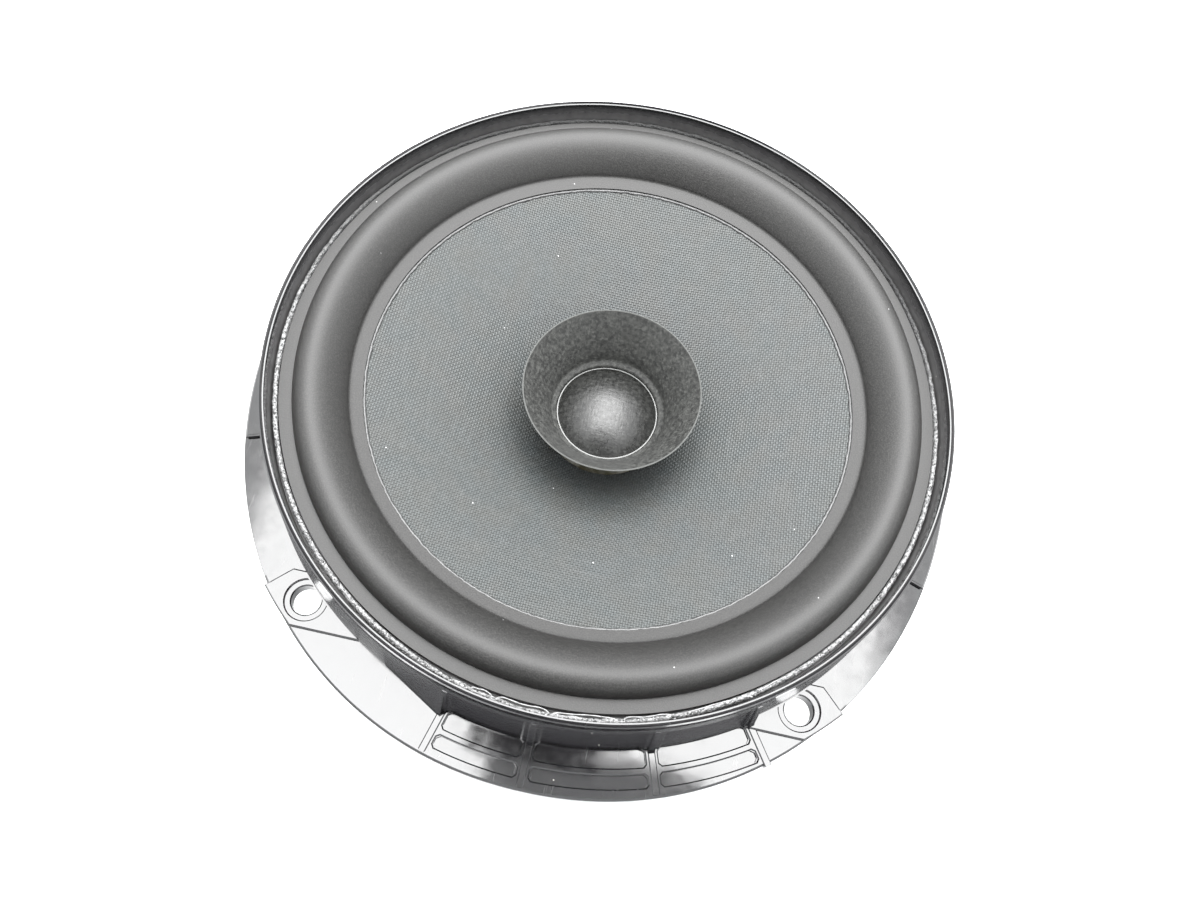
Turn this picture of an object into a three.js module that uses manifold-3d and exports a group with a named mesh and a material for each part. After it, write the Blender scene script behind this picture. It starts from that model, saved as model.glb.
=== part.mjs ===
// Dual-cone car door speaker, 165 mm class: a moulded basket with a screw flange, a ring magnet
// motor behind it, and one moving assembly (cone, whizzer cone, dust cap and voice coil).
// Millimetres. +Z points out of the front, the origin is the centre of the yoke's back face.
import * as THREE from 'three';
import { mergeVertices } from 'three/addons/utils/BufferGeometryUtils.js';
import Module from 'manifold-3d';

const wasm = await Module();
wasm.setup();

// ---------------------------------------------------------------- driving dimensions

const ROUND = 48; // segments of every turned part, so that nested parts keep an even gap
const FIT = 0.3; // gap between two parts that touch

const RIM_TOP = 66; // front of the rim's lip above the yoke's back face
const RIM_RADIUS = 82.7; // lip, outside
const LIP_INNER_RADIUS = 81.4;
const STEP_Z = 61.8; // where the lip stands back from the drafted wall
const WALL_TOP_RADIUS = 84.1;
const WALL_FOOT_RADIUS = 85.3;
const GROOVE_FLOOR_Z = 57.6; // glue groove between the lip and the surround's seat

const FLANGE_TOP = 48;
const FLANGE_THICKNESS = 3;
const FLANGE_BACK = FLANGE_TOP - FLANGE_THICKNESS;
const FLANGE_HALF_X = 88.8;
const FLANGE_HALF_Y = 96;
const FLANGE_SQUARENESS = 2.07; // exponent of the flange's superellipse; 2 is an ellipse
const FLANGE_POINTS = 96;

const HOLE_X = 57.8; // the four fixing holes stand on a rectangle
const HOLE_Y = 65.7;
const HOLE_RADIUS = 3.4;
const HEAD_SEAT_RADIUS = 5; // shallow seat of the rivet or screw head
const HEAD_SEAT_DEPTH = 0.5;
const PAD_HEIGHT = 0.8; // thickened pad round each fixing hole
const PAD_HALF_WIDTH = 6.5;
const PAD_TIP_RADIUS = 94.4;
const PAD_ROOT_RADIUS = 83.5;

const RIB_ANGLES = [-104.3, -90.5, -72.3, -56.5]; // stiffening ribs at each end of the flange
const RIB_WIDTH = 1.8;
const RIB_HEIGHT = 0.7;
const POCKET_ROWS = [[85.9, 89], [90.6, 93.4]]; // inner and outer radius of each pocket row
const POCKET_DEPTH = 0.8;
const POCKET_MARGIN = 2.1; // from a rib's middle to the pocket's end

const SEAT_Z = 60.4; // ledge that carries the surround
const SEAT_RADII = [75.9, 79.3];

const FLOOR_BACK = 25.6; // basket floor, riveted to the top plate
const FLOOR_FRONT = 28.6;
const FLOOR_BORE_RADIUS = 20;
const LEDGE_Z = 32.1; // ring that carries the spider
const LEDGE_RADII = [38.6, 44.2];

const SPOKE_ANGLES = [30, 90, 150, 210, 270, 330];
const SPOKE_HALF_WIDTH = 5;
const CONNECTOR_SPOKE_HALF_WIDTH = 14; // the spoke at 90 degrees carries the connector
const CONNECTOR_ANGLE = 90;
const WINDOW_RADII = [49, 72];

const SKIN = 0.8; // surround rubber
const CONE_EDGE_RADIUS = 64.2;
const CONE_EDGE_Z = 58.3;
const CONE_NECK_RADIUS = 13.4;
const CONE_NECK_Z = 38;
const CONE_FLARE = 0.87; // below 1 the cone is steeper at its neck than at its edge
const CONE_WALL = 0.6;
const SURROUND_INNER_RADIUS = 60.6;
const ROLL_RADII = [64.7, 75.5];
const ROLL_HEIGHT = 6.1;

const WHIZZER_RIM = [22.3, 58.1]; // radius, z
const WHIZZER_BEND = [14.75, 46.5];
const WHIZZER_NECK = [13.4, 41.2];
const WHIZZER_WALL = 0.5;

const CAP_RING_RADIUS = 13.05;
const CAP_RING_Z = 43.6;
const CAP_DOME_RADIUS = 12.45;
const CAP_DOME_Z = 43.2;
const CAP_APEX_Z = 47.6;
const CAP_WALL = 0.4;

const FORMER_RADII = [12.5, 12.9];
const FORMER_Z = [17.3, 42.6];
const WINDING_RADII = [13, 13.6];
const WINDING_Z = [17.8, 27.8];

const POLE_RADIUS = 12;
const PLATE_RADIUS = 37;
const YOKE_PLATE_THICKNESS = 5;
const MAGNET_RADII = [17, 40];
const MAGNET_Z = [YOKE_PLATE_THICKNESS + FIT, 20];
const TOP_PLATE_Z = [20.3, 25.3];
const TOP_PLATE_BORE_RADIUS = 14.1;

const RIVET_CIRCLE_RADIUS = 30;
const RIVET_SHANK_RADIUS = 1.7;
const RIVET_HEAD_RADIUS = 3.2;
const RIVET_HEAD_HEIGHT = 1.5;
const RIVET_ANGLES = [45, 135, 225, 315];

const SPIDER_Z = 33; // mid plane of the corrugations
const SPIDER_RADII = [13.2, 43.6];
const SPIDER_WAVE_STEP = 3.5; // radius from crest to trough
const SPIDER_WAVE_HEIGHT = 0.9;
const SPIDER_WALL = 0.6;

const HOUSING = { halfWidth: 11.5, back: 46.8, mouth: 62, low: 13.3, high: 25.5, wall: 1.6 };
const SOCKET_DEPTH = 7;
const BLADE_X = 5;
const BLADE_THICKNESS = 0.8;
const BLADE_TONGUE = { back: 48.5, tip: 60.5, low: 17, high: 21.8 };
const BLADE_LEG = { front: 53.5, top: 38 };

const LEAD_RADIUS = 0.6;
const LEAD_JOINT = [7.5, 20.7]; // where each lead meets the back of the cone
const LEAD_JOINT_TOP = 40.75;
const LEAD_JOINT_RADIUS = 1.8;
const LEAD_JOINT_HEIGHT = 1.2;

// ---------------------------------------------------------------- finishes

const finish = (color, roughness, metalness) => new THREE.MeshStandardMaterial({ color, roughness, metalness });
const FINISHES = {
  basketPlastic: finish(0x1c1c1f, 0.22, 0),
  connectorPlastic: finish(0x2a2a2c, 0.5, 0),
  foam: finish(0x2b2b2b, 0.95, 0),
  rubber: finish(0x3a3835, 0.6, 0),
  adhesive: finish(0xa9a9a6, 0.5, 0.2),
  neckAdhesive: finish(0x7a7440, 0.35, 0),
  wovenCone: finish(0x5f6664, 0.85, 0),
  paper: finish(0x4a4a48, 0.9, 0),
  spiderCloth: finish(0xa8843a, 0.9, 0),
  former: finish(0xb07a3a, 0.4, 0),
  copper: finish(0xb5622e, 0.3, 1),
  platedSteel: finish(0x9a9a94, 0.35, 1),
  ferrite: finish(0x2e2e30, 0.7, 0),
  brass: finish(0xc0a050, 0.3, 1),
  braid: finish(0x8f8a80, 0.5, 0.8),
};

// ---------------------------------------------------------------- shared tools

const radians = THREE.MathUtils.degToRad;

// Turns a closed outline of [radius, z] points about the Z axis.
function turned(outline, segments = ROUND) {
  const points = outline.map(([radius, z]) => new THREE.Vector2(radius, z));
  const onAxis = points[0].x === 0 && points[points.length - 1].x === 0;
  if (!onAxis) {
    points.push(points[0].clone());
  }
  const geometry = new THREE.LatheGeometry(points, segments);
  geometry.rotateX(Math.PI / 2);
  return geometry;
}

// Extrudes a flat outline of [x, y] points from one height to another.
function prism(outline, low, high) {
  const shape = new THREE.Shape(outline.map(([x, y]) => new THREE.Vector2(x, y)));
  const geometry = new THREE.ExtrudeGeometry(shape, { depth: high - low, bevelEnabled: false });
  geometry.translate(0, 0, low);
  return geometry;
}

// A plate whose outline is given as [distance from the axis, z], standing on the line at `degrees`.
function radialPlate(outline, thickness, degrees) {
  const geometry = prism(outline, -thickness / 2, thickness / 2);
  geometry.rotateX(Math.PI / 2);
  geometry.rotateZ(radians(degrees));
  return geometry;
}

function block([x0, x1], [y0, y1], [z0, z1]) {
  const geometry = new THREE.BoxGeometry(x1 - x0, y1 - y0, z1 - z0);
  geometry.translate((x0 + x1) / 2, (y0 + y1) / 2, (z0 + z1) / 2);
  return geometry;
}

function post(x, y, radius, low, high, sides = 16) {
  const geometry = new THREE.CylinderGeometry(radius, radius, high - low, sides);
  geometry.rotateX(Math.PI / 2);
  geometry.translate(x, y, (low + high) / 2);
  return geometry;
}

// Points [radius·cos, radius·sin] along an arc, both ends included.
function arc(radius, fromDegrees, toDegrees, steps) {
  return Array.from({ length: steps + 1 }, (_, i) => {
    const angle = radians(fromDegrees + ((toDegrees - fromDegrees) * i) / steps);
    return [radius * Math.cos(angle), radius * Math.sin(angle)];
  });
}

function toSolid(geometry) {
  const bare = geometry.clone();
  bare.deleteAttribute('normal');
  bare.deleteAttribute('uv');
  const merged = mergeVertices(bare, 1e-4);
  return new wasm.Manifold(new wasm.Mesh({
    numProp: 3,
    vertProperties: new Float32Array(merged.attributes.position.array),
    triVerts: new Uint32Array(merged.index.array),
  }));
}

function toGeometry(solid) {
  const mesh = solid.getMesh();
  const geometry = new THREE.BufferGeometry();
  geometry.setAttribute('position', new THREE.BufferAttribute(mesh.vertProperties, 3));
  geometry.setIndex(new THREE.BufferAttribute(mesh.triVerts, 1));
  geometry.computeVertexNormals();
  return geometry;
}

const joined = (solid, geometries) => geometries.reduce((sum, geometry) => sum.add(toSolid(geometry)), solid);
const cut = (solid, geometries) => geometries.reduce((rest, geometry) => rest.subtract(toSolid(geometry)), solid);

const speaker = new THREE.Group();

function addPart(name, geometry, material) {
  const mesh = new THREE.Mesh(geometry, material);
  mesh.name = name;
  speaker.add(mesh);
}

// ---------------------------------------------------------------- basket

const CORNERS = [[1, 1], [-1, 1], [-1, -1], [1, -1]]; // signs of x and y at the four fixing holes

function flangeOutline() {
  const power = 2 / FLANGE_SQUARENESS;
  return Array.from({ length: FLANGE_POINTS }, (_, i) => {
    const angle = (2 * Math.PI * i) / FLANGE_POINTS;
    const [c, s] = [Math.cos(angle), Math.sin(angle)];
    return [
      FLANGE_HALF_X * Math.sign(c) * Math.abs(c) ** power,
      FLANGE_HALF_Y * Math.sign(s) * Math.abs(s) ** power,
    ];
  });
}

// The pad's outline in the corner where x and y are positive, then mirrored to [signX, signY].
function padOutline(signX, signY) {
  const low = HOLE_Y - PAD_HALF_WIDTH;
  const high = HOLE_Y + PAD_HALF_WIDTH;
  const onCircle = (radius, y) => THREE.MathUtils.radToDeg(Math.asin(y / radius));
  const chamfer = 5.2;
  const tipStart = onCircle(PAD_TIP_RADIUS, low + chamfer);
  const points = [
    ...arc(PAD_TIP_RADIUS, tipStart, onCircle(PAD_TIP_RADIUS, high), 4),
    ...arc(PAD_ROOT_RADIUS, onCircle(PAD_ROOT_RADIUS, high), onCircle(PAD_ROOT_RADIUS, low), 4),
    [PAD_TIP_RADIUS * Math.cos(radians(tipStart)) - chamfer, low],
  ];
  const mirrored = points.map(([x, y]) => [x * signX, y * signY]);
  return signX * signY > 0 ? mirrored : mirrored.reverse();
}

function ribOutline() {
  const root = WALL_TOP_RADIUS - 1.5;
  const tip = FLANGE_HALF_Y - 0.8;
  const top = FLANGE_TOP + RIB_HEIGHT;
  return [
    [root, FLANGE_BACK + 1],
    [tip, FLANGE_BACK + 1],
    [tip, top],
    [WALL_FOOT_RADIUS + RIB_HEIGHT, top],
    [WALL_TOP_RADIUS + RIB_HEIGHT, STEP_Z - 0.5],
    [root, STEP_Z - 0.5],
  ];
}

function pocketOutline([innerRadius, outerRadius], fromDegrees, toDegrees) {
  const steps = 4;
  const margin = (radius) => THREE.MathUtils.radToDeg(POCKET_MARGIN / radius);
  return [
    ...arc(outerRadius, fromDegrees + margin(outerRadius), toDegrees - margin(outerRadius), steps),
    ...arc(innerRadius, toDegrees - margin(innerRadius), fromDegrees + margin(innerRadius), steps),
  ];
}

function spokeHalfWidth(index) {
  const angle = SPOKE_ANGLES[index % SPOKE_ANGLES.length];
  return angle === CONNECTOR_ANGLE ? CONNECTOR_SPOKE_HALF_WIDTH : SPOKE_HALF_WIDTH;
}

// The gap between two spokes, whose sides run parallel to the spokes.
function windowOutline(index) {
  const steps = 5;
  const from = SPOKE_ANGLES[index];
  const to = from + 60;
  const start = (radius) => from + THREE.MathUtils.radToDeg(Math.asin(spokeHalfWidth(index) / radius));
  const end = (radius) => to - THREE.MathUtils.radToDeg(Math.asin(spokeHalfWidth(index + 1) / radius));
  const [inner, outer] = WINDOW_RADII;
  return [...arc(outer, start(outer), end(outer), steps), ...arc(inner, end(inner), start(inner), steps)];
}

function basketBody() {
  return turned([
    [FLOOR_BORE_RADIUS, FLOOR_BACK],
    [46.5, FLOOR_BACK],
    [74.5, 35.6],
    [78.6, 40],
    [80, FLANGE_BACK],
    [WALL_FOOT_RADIUS, FLANGE_BACK],
    [WALL_FOOT_RADIUS, FLANGE_TOP],
    [WALL_TOP_RADIUS, STEP_Z],
    [RIM_RADIUS + 0.4, STEP_Z],
    [RIM_RADIUS, RIM_TOP],
    [LIP_INNER_RADIUS, RIM_TOP],
    [LIP_INNER_RADIUS - 0.2, GROOVE_FLOOR_Z],
    [SEAT_RADII[1], GROOVE_FLOOR_Z],
    [SEAT_RADII[1], SEAT_Z],
    [SEAT_RADII[0], SEAT_Z],
    [SEAT_RADII[0], SEAT_Z - 2.4],
    [80.2, 55],
    [81, FLANGE_TOP - 1],
    [76, 41.2],
    [73.2, 38.4],
    [46.6, 29.2],
    [LEDGE_RADII[1], LEDGE_Z],
    [LEDGE_RADII[0], LEDGE_Z],
    [LEDGE_RADII[0], FLOOR_FRONT],
    [FLOOR_BORE_RADIUS, FLOOR_FRONT],
  ]);
}

// A plate under each spoke, from the floor to the flange.
const spokeRibOutline = () => [[46.6, 27], [46.6, 23.4], [50, 23.4], [79.2, 37.5], [79.2, 43.5], [75.5, 38]];

const connectorSeatOutline = () => [
  [HOUSING.back, HOUSING.high + FIT],
  [HOUSING.mouth, HOUSING.high + FIT],
  [HOUSING.mouth, 32],
  [HOUSING.back, 27.5],
];

function bladeSlot(side) {
  const halfGap = BLADE_THICKNESS / 2 + FIT;
  return block(
    [side * BLADE_X - halfGap, side * BLADE_X + halfGap],
    [BLADE_TONGUE.back - FIT, BLADE_LEG.front + FIT],
    [BLADE_TONGUE.low - FIT, BLADE_LEG.top],
  );
}

function addBasket() {
  const flange = cut(toSolid(prism(flangeOutline(), FLANGE_BACK, FLANGE_TOP)), [
    post(0, 0, 82.5, FLANGE_BACK - 1, FLANGE_TOP + 1, ROUND),
  ]);
  const pads = CORNERS.map(([sx, sy]) => prism(padOutline(sx, sy), FLANGE_BACK, FLANGE_TOP + PAD_HEIGHT));
  const bothEnds = [0, 180];
  const ribs = bothEnds.flatMap((turn) => RIB_ANGLES.map(
    (angle) => radialPlate(ribOutline(), RIB_WIDTH, angle + turn),
  ));
  const pockets = bothEnds.flatMap((turn) => RIB_ANGLES.slice(1).flatMap((angle, i) => POCKET_ROWS.map(
    (row) => prism(pocketOutline(row, RIB_ANGLES[i] + turn, angle + turn), FLANGE_TOP - POCKET_DEPTH, FLANGE_TOP + 2),
  )));
  const windows = SPOKE_ANGLES.map((_, i) => prism(windowOutline(i), FLOOR_BACK - 5, FLANGE_BACK));
  const spokeRibs = SPOKE_ANGLES.filter((angle) => angle !== CONNECTOR_ANGLE).map(
    (angle) => radialPlate(spokeRibOutline(), RIB_WIDTH, angle),
  );
  const connectorSeat = radialPlate(connectorSeatOutline(), 2 * HOUSING.halfWidth, CONNECTOR_ANGLE);
  const fixingHoles = CORNERS.map(
    ([sx, sy]) => post(sx * HOLE_X, sy * HOLE_Y, HOLE_RADIUS, FLANGE_BACK - 2, FLANGE_TOP + 3, 24),
  );
  const seatFloor = FLANGE_TOP + PAD_HEIGHT - HEAD_SEAT_DEPTH;
  const headSeats = CORNERS.map(
    ([sx, sy]) => post(sx * HOLE_X, sy * HOLE_Y, HEAD_SEAT_RADIUS, seatFloor, FLANGE_TOP + 3, 24),
  );
  const rivetHoles = RIVET_ANGLES.map((angle) => rivetPost(angle, RIVET_SHANK_RADIUS + FIT, FLOOR_BACK - 1, FLOOR_FRONT + 1));

  const shell = cut(toSolid(basketBody()), windows);
  const flanged = cut(joined(shell.add(flange), pads), pockets);
  const stiffened = joined(flanged, [...ribs, ...spokeRibs, connectorSeat]);
  const drilled = cut(stiffened, [...fixingHoles, ...headSeats, ...rivetHoles, bladeSlot(-1), bladeSlot(1)]);
  addPart('basket', toGeometry(drilled), FINISHES.basketPlastic);
}

// Closed-cell foam ring that seals the flange to the door.
function addMountingGasket() {
  const outline = [[80.6, FLANGE_BACK - 2.8], [83.7, FLANGE_BACK - 2.8], [83.7, FLANGE_BACK - FIT], [80.6, FLANGE_BACK - FIT]];
  addPart('mounting_gasket', turned(outline), FINISHES.foam);
}

// ---------------------------------------------------------------- motor

function addYoke() {
  const chamfer = 1;
  addPart('t_yoke', turned([
    [0, 0],
    [PLATE_RADIUS - chamfer, 0],
    [PLATE_RADIUS, chamfer],
    [PLATE_RADIUS, YOKE_PLATE_THICKNESS],
    [POLE_RADIUS, YOKE_PLATE_THICKNESS],
    [POLE_RADIUS, TOP_PLATE_Z[1]],
    [0, TOP_PLATE_Z[1]],
  ]), FINISHES.platedSteel);
}

function addMagnet() {
  const chamfer = 1.2;
  const [low, high] = MAGNET_Z;
  const [inner, outer] = MAGNET_RADII;
  addPart('ferrite_magnet', turned([
    [inner, low],
    [outer - chamfer, low],
    [outer, low + chamfer],
    [outer, high - chamfer],
    [outer - chamfer, high],
    [inner, high],
  ]), FINISHES.ferrite);
}

function rivetPost(angle, radius, low, high) {
  const [[x, y]] = arc(RIVET_CIRCLE_RADIUS, angle, angle, 1);
  return post(x, y, radius, low, high, 12);
}

function addTopPlate() {
  const [low, high] = TOP_PLATE_Z;
  const plate = turned([
    [TOP_PLATE_BORE_RADIUS, low],
    [PLATE_RADIUS, low],
    [PLATE_RADIUS, high],
    [TOP_PLATE_BORE_RADIUS, high],
  ]);
  const holes = RIVET_ANGLES.map((angle) => rivetPost(angle, RIVET_SHANK_RADIUS + FIT, low - 1, high + 1));
  addPart('top_plate', toGeometry(cut(toSolid(plate), holes)), FINISHES.platedSteel);
}

// Each rivet clamps the basket floor to the top plate.
function addRivets() {
  RIVET_ANGLES.forEach((angle, i) => {
    const headLow = FLOOR_FRONT + FIT;
    const shank = toSolid(rivetPost(angle, RIVET_SHANK_RADIUS, TOP_PLATE_Z[0] + 0.5, headLow + 0.5));
    const head = rivetPost(angle, RIVET_HEAD_RADIUS, headLow, headLow + RIVET_HEAD_HEIGHT);
    addPart(`frame_rivet_${i + 1}`, toGeometry(joined(shank, [head])), FINISHES.platedSteel);
  });
}

// ---------------------------------------------------------------- suspension

const coneHeight = (radius) => CONE_NECK_Z
  + (CONE_EDGE_Z - CONE_NECK_Z) * ((radius - CONE_NECK_RADIUS) / (CONE_EDGE_RADIUS - CONE_NECK_RADIUS)) ** CONE_FLARE;

// The roll is half an ellipse standing on the line between its two feet.
function rollPoints(height, inset, steps) {
  const inner = [ROLL_RADII[0] + inset, coneHeight(CONE_EDGE_RADIUS) + FIT];
  const outer = [ROLL_RADII[1] - inset, SEAT_Z + FIT];
  return Array.from({ length: steps + 1 }, (_, i) => {
    const angle = (Math.PI * i) / steps;
    const across = (1 - Math.cos(angle)) / 2;
    return [
      inner[0] + (outer[0] - inner[0]) * across,
      inner[1] + (outer[1] - inner[1]) * across + height * Math.sin(angle),
    ];
  });
}

function addSurround() {
  const lift = (points) => points.map(([radius, z]) => [radius, z + SKIN]);
  const edge = SURROUND_INNER_RADIUS;
  const outerEdge = SEAT_RADII[1] + 0.1;
  const underside = [[edge, coneHeight(edge) + FIT], ...rollPoints(ROLL_HEIGHT - SKIN, SKIN / 2, 6), [outerEdge, SEAT_Z + FIT]];
  const topside = lift([[edge, coneHeight(edge) + FIT], ...rollPoints(ROLL_HEIGHT - SKIN, -SKIN / 2, 6), [outerEdge, SEAT_Z + FIT]]);
  addPart('surround', turned([...underside, ...topside.reverse()]), FINISHES.rubber);
}

// Bead of adhesive in the groove, against the surround's outer edge.
function addSurroundAdhesive() {
  const inner = SEAT_RADII[1] + FIT + 0.1;
  addPart('surround_adhesive', turned([
    [inner, GROOVE_FLOOR_Z + 0.8],
    [inner + 0.9, GROOVE_FLOOR_Z + 0.8],
    [inner + 1.1, SEAT_Z + 0.4],
    [inner + 0.5, SEAT_Z + 1.5],
    [inner, SEAT_Z + 1.3],
  ]), FINISHES.adhesive);
}

function addSpider() {
  const [inner, outer] = SPIDER_RADII;
  const waves = [];
  let side = 1;
  for (let radius = inner + SPIDER_WAVE_STEP; radius < LEDGE_RADII[0] - 1; radius += SPIDER_WAVE_STEP) {
    waves.push([radius, SPIDER_Z + side * SPIDER_WAVE_HEIGHT]);
    side = -side;
  }
  const centreLine = [[inner, SPIDER_Z], ...waves, [LEDGE_RADII[0] + 0.2, SPIDER_Z - 0.3], [outer, SPIDER_Z - 0.3]];
  const underside = centreLine.map(([radius, z]) => [radius, z - SPIDER_WALL / 2]);
  const topside = centreLine.map(([radius, z]) => [radius, z + SPIDER_WALL / 2]);
  addPart('spider', turned([...underside, ...topside.reverse()]), FINISHES.spiderCloth);
}

// ---------------------------------------------------------------- moving assembly

function addCone() {
  const steps = 6;
  const radii = Array.from({ length: steps + 1 }, (_, i) => (
    CONE_NECK_RADIUS + (CONE_EDGE_RADIUS - CONE_NECK_RADIUS) * (i / steps) ** 1.5
  ));
  const underside = radii.map((radius) => [radius, coneHeight(radius) - CONE_WALL]);
  const topside = radii.map((radius) => [radius, coneHeight(radius)]);
  addPart('cone', turned([...underside, ...topside.reverse()]), FINISHES.wovenCone);
}

function addWhizzerCone() {
  const outside = WHIZZER_WALL * 1.2; // wall measured level, because it slopes
  addPart('whizzer_cone', turned([
    [WHIZZER_NECK[0], WHIZZER_NECK[1]],
    [WHIZZER_NECK[0] + WHIZZER_WALL, WHIZZER_NECK[1]],
    [WHIZZER_NECK[0] + WHIZZER_WALL + 0.2, CAP_RING_Z],
    [WHIZZER_BEND[0] + outside, WHIZZER_BEND[1]],
    [WHIZZER_RIM[0], WHIZZER_RIM[1] - 0.3],
    [WHIZZER_RIM[0], WHIZZER_RIM[1]],
    [WHIZZER_RIM[0] - WHIZZER_WALL, WHIZZER_RIM[1]],
    [WHIZZER_BEND[0], WHIZZER_BEND[1]],
    [WHIZZER_NECK[0] + 0.1, CAP_RING_Z],
  ]), FINISHES.paper);
}

// A dome whose edge turns up against the whizzer cone's neck.
function addDustCap() {
  const rise = CAP_APEX_Z - CAP_DOME_Z;
  const sphere = (CAP_DOME_RADIUS ** 2 + rise ** 2) / (2 * rise);
  const centre = CAP_APEX_Z - sphere;
  const steps = 5;
  const dome = (radius) => Array.from({ length: steps + 1 }, (_, i) => {
    const angle = Math.asin(CAP_DOME_RADIUS / sphere) * (1 - i / steps);
    return i === steps ? [0, centre + radius] : [radius * Math.sin(angle), centre + radius * Math.cos(angle)];
  });
  addPart('dust_cap', turned([
    ...dome(sphere - CAP_WALL).reverse(),
    [CAP_DOME_RADIUS, FORMER_Z[1] + FIT],
    [CAP_RING_RADIUS, FORMER_Z[1] + FIT],
    [CAP_RING_RADIUS, CAP_RING_Z],
    [CAP_RING_RADIUS - FIT, CAP_RING_Z],
    [CAP_RING_RADIUS - FIT, CAP_DOME_Z],
    ...dome(sphere),
  ]), FINISHES.paper);
}

// Fillet of adhesive that ties the cone's neck, the whizzer cone and the former together.
function addNeckAdhesive() {
  const inner = FORMER_RADII[1] + FIT;
  addPart('neck_adhesive', turned([
    [inner, 38.5],
    [inner + 0.4, 38.6],
    [inner + 2.7, 39.9],
    [inner + 1.4, 40.7],
    [inner, 40.9],
  ]), FINISHES.neckAdhesive);
}

function addTube(name, [inner, outer], [low, high], material) {
  addPart(name, turned([[inner, low], [outer, low], [outer, high], [inner, high]]), material);
}

// ---------------------------------------------------------------- connector and leads

function addConnectorHousing() {
  const { halfWidth, back, mouth, low, high, wall } = HOUSING;
  const body = toSolid(block([-halfWidth, halfWidth], [back, mouth], [low, high]));
  const socket = block(
    [wall - halfWidth, halfWidth - wall],
    [mouth - SOCKET_DEPTH, mouth + 1],
    [low + wall, high - wall],
  );
  const tongueSlot = (side) => block(
    [side * BLADE_X - BLADE_THICKNESS / 2 - FIT, side * BLADE_X + BLADE_THICKNESS / 2 + FIT],
    [BLADE_TONGUE.back - FIT, mouth],
    [BLADE_TONGUE.low - FIT, BLADE_TONGUE.high + FIT],
  );
  const cuts = [socket, tongueSlot(-1), tongueSlot(1), bladeSlot(-1), bladeSlot(1)];
  addPart('connector_housing', toGeometry(cut(body, cuts)), FINISHES.connectorPlastic);
}

function addTerminalBlade(name, side) {
  const { back, tip, low, high } = BLADE_TONGUE;
  const outline = [
    [back, low],
    [tip, low],
    [tip, high],
    [BLADE_LEG.front, high],
    [BLADE_LEG.front, BLADE_LEG.top],
    [back, BLADE_LEG.top],
  ];
  const geometry = radialPlate(outline, BLADE_THICKNESS, CONNECTOR_ANGLE);
  geometry.translate(side * BLADE_X, 0, 0);
  addPart(name, geometry, FINISHES.brass);
}

// Flexible lead from the blade's top, through the gap behind the cone, to the joint on the cone.
function addTinselLead(name, side) {
  const legMiddle = (BLADE_TONGUE.back + BLADE_LEG.front) / 2;
  const start = BLADE_LEG.top + FIT + LEAD_RADIUS;
  const route = [
    [BLADE_X, legMiddle + 2, start],
    [BLADE_X, legMiddle - 2, start + 0.6],
    [BLADE_X + 0.6, 42, start - 0.6],
    [BLADE_X + 1.4, 33, start - 2],
    [BLADE_X + 2.2, 25.5, start - 1.1],
    [LEAD_JOINT[0], LEAD_JOINT[1] + LEAD_JOINT_RADIUS + 1.2, LEAD_JOINT_TOP - 0.7],
  ];
  const path = new THREE.CatmullRomCurve3(route.map(([x, y, z]) => new THREE.Vector3(side * x, y, z)));
  const section = new THREE.Shape(arc(LEAD_RADIUS, 0, 315, 7).map(([x, y]) => new THREE.Vector2(x, y)));
  const geometry = new THREE.ExtrudeGeometry(section, { steps: 16, bevelEnabled: false, extrudePath: path });
  addPart(name, geometry, FINISHES.braid);
}

// Dab of adhesive over the joint between a tinsel lead and the coil's own wire.
function addLeadJoint(name, side) {
  const low = LEAD_JOINT_TOP - LEAD_JOINT_HEIGHT;
  const geometry = post(side * LEAD_JOINT[0], LEAD_JOINT[1], LEAD_JOINT_RADIUS, low, LEAD_JOINT_TOP, 12);
  addPart(name, geometry, FINISHES.neckAdhesive);
}

// ---------------------------------------------------------------- assembly

addBasket();
addMountingGasket();
addYoke();
addMagnet();
addTopPlate();
addRivets();
addSurround();
addSurroundAdhesive();
addSpider();
addCone();
addWhizzerCone();
addDustCap();
addNeckAdhesive();
addTube('voice_coil_former', FORMER_RADII, FORMER_Z, FINISHES.former);
addTube('voice_coil_winding', WINDING_RADII, WINDING_Z, FINISHES.copper);
addConnectorHousing();
for (const [pole, side] of [['plus', 1], ['minus', -1]]) {
  addTerminalBlade(`terminal_blade_${pole}`, side);
  addTinselLead(`tinsel_lead_${pole}`, side);
  addLeadJoint(`lead_joint_${pole}`, side);
}

export default speaker;
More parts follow.
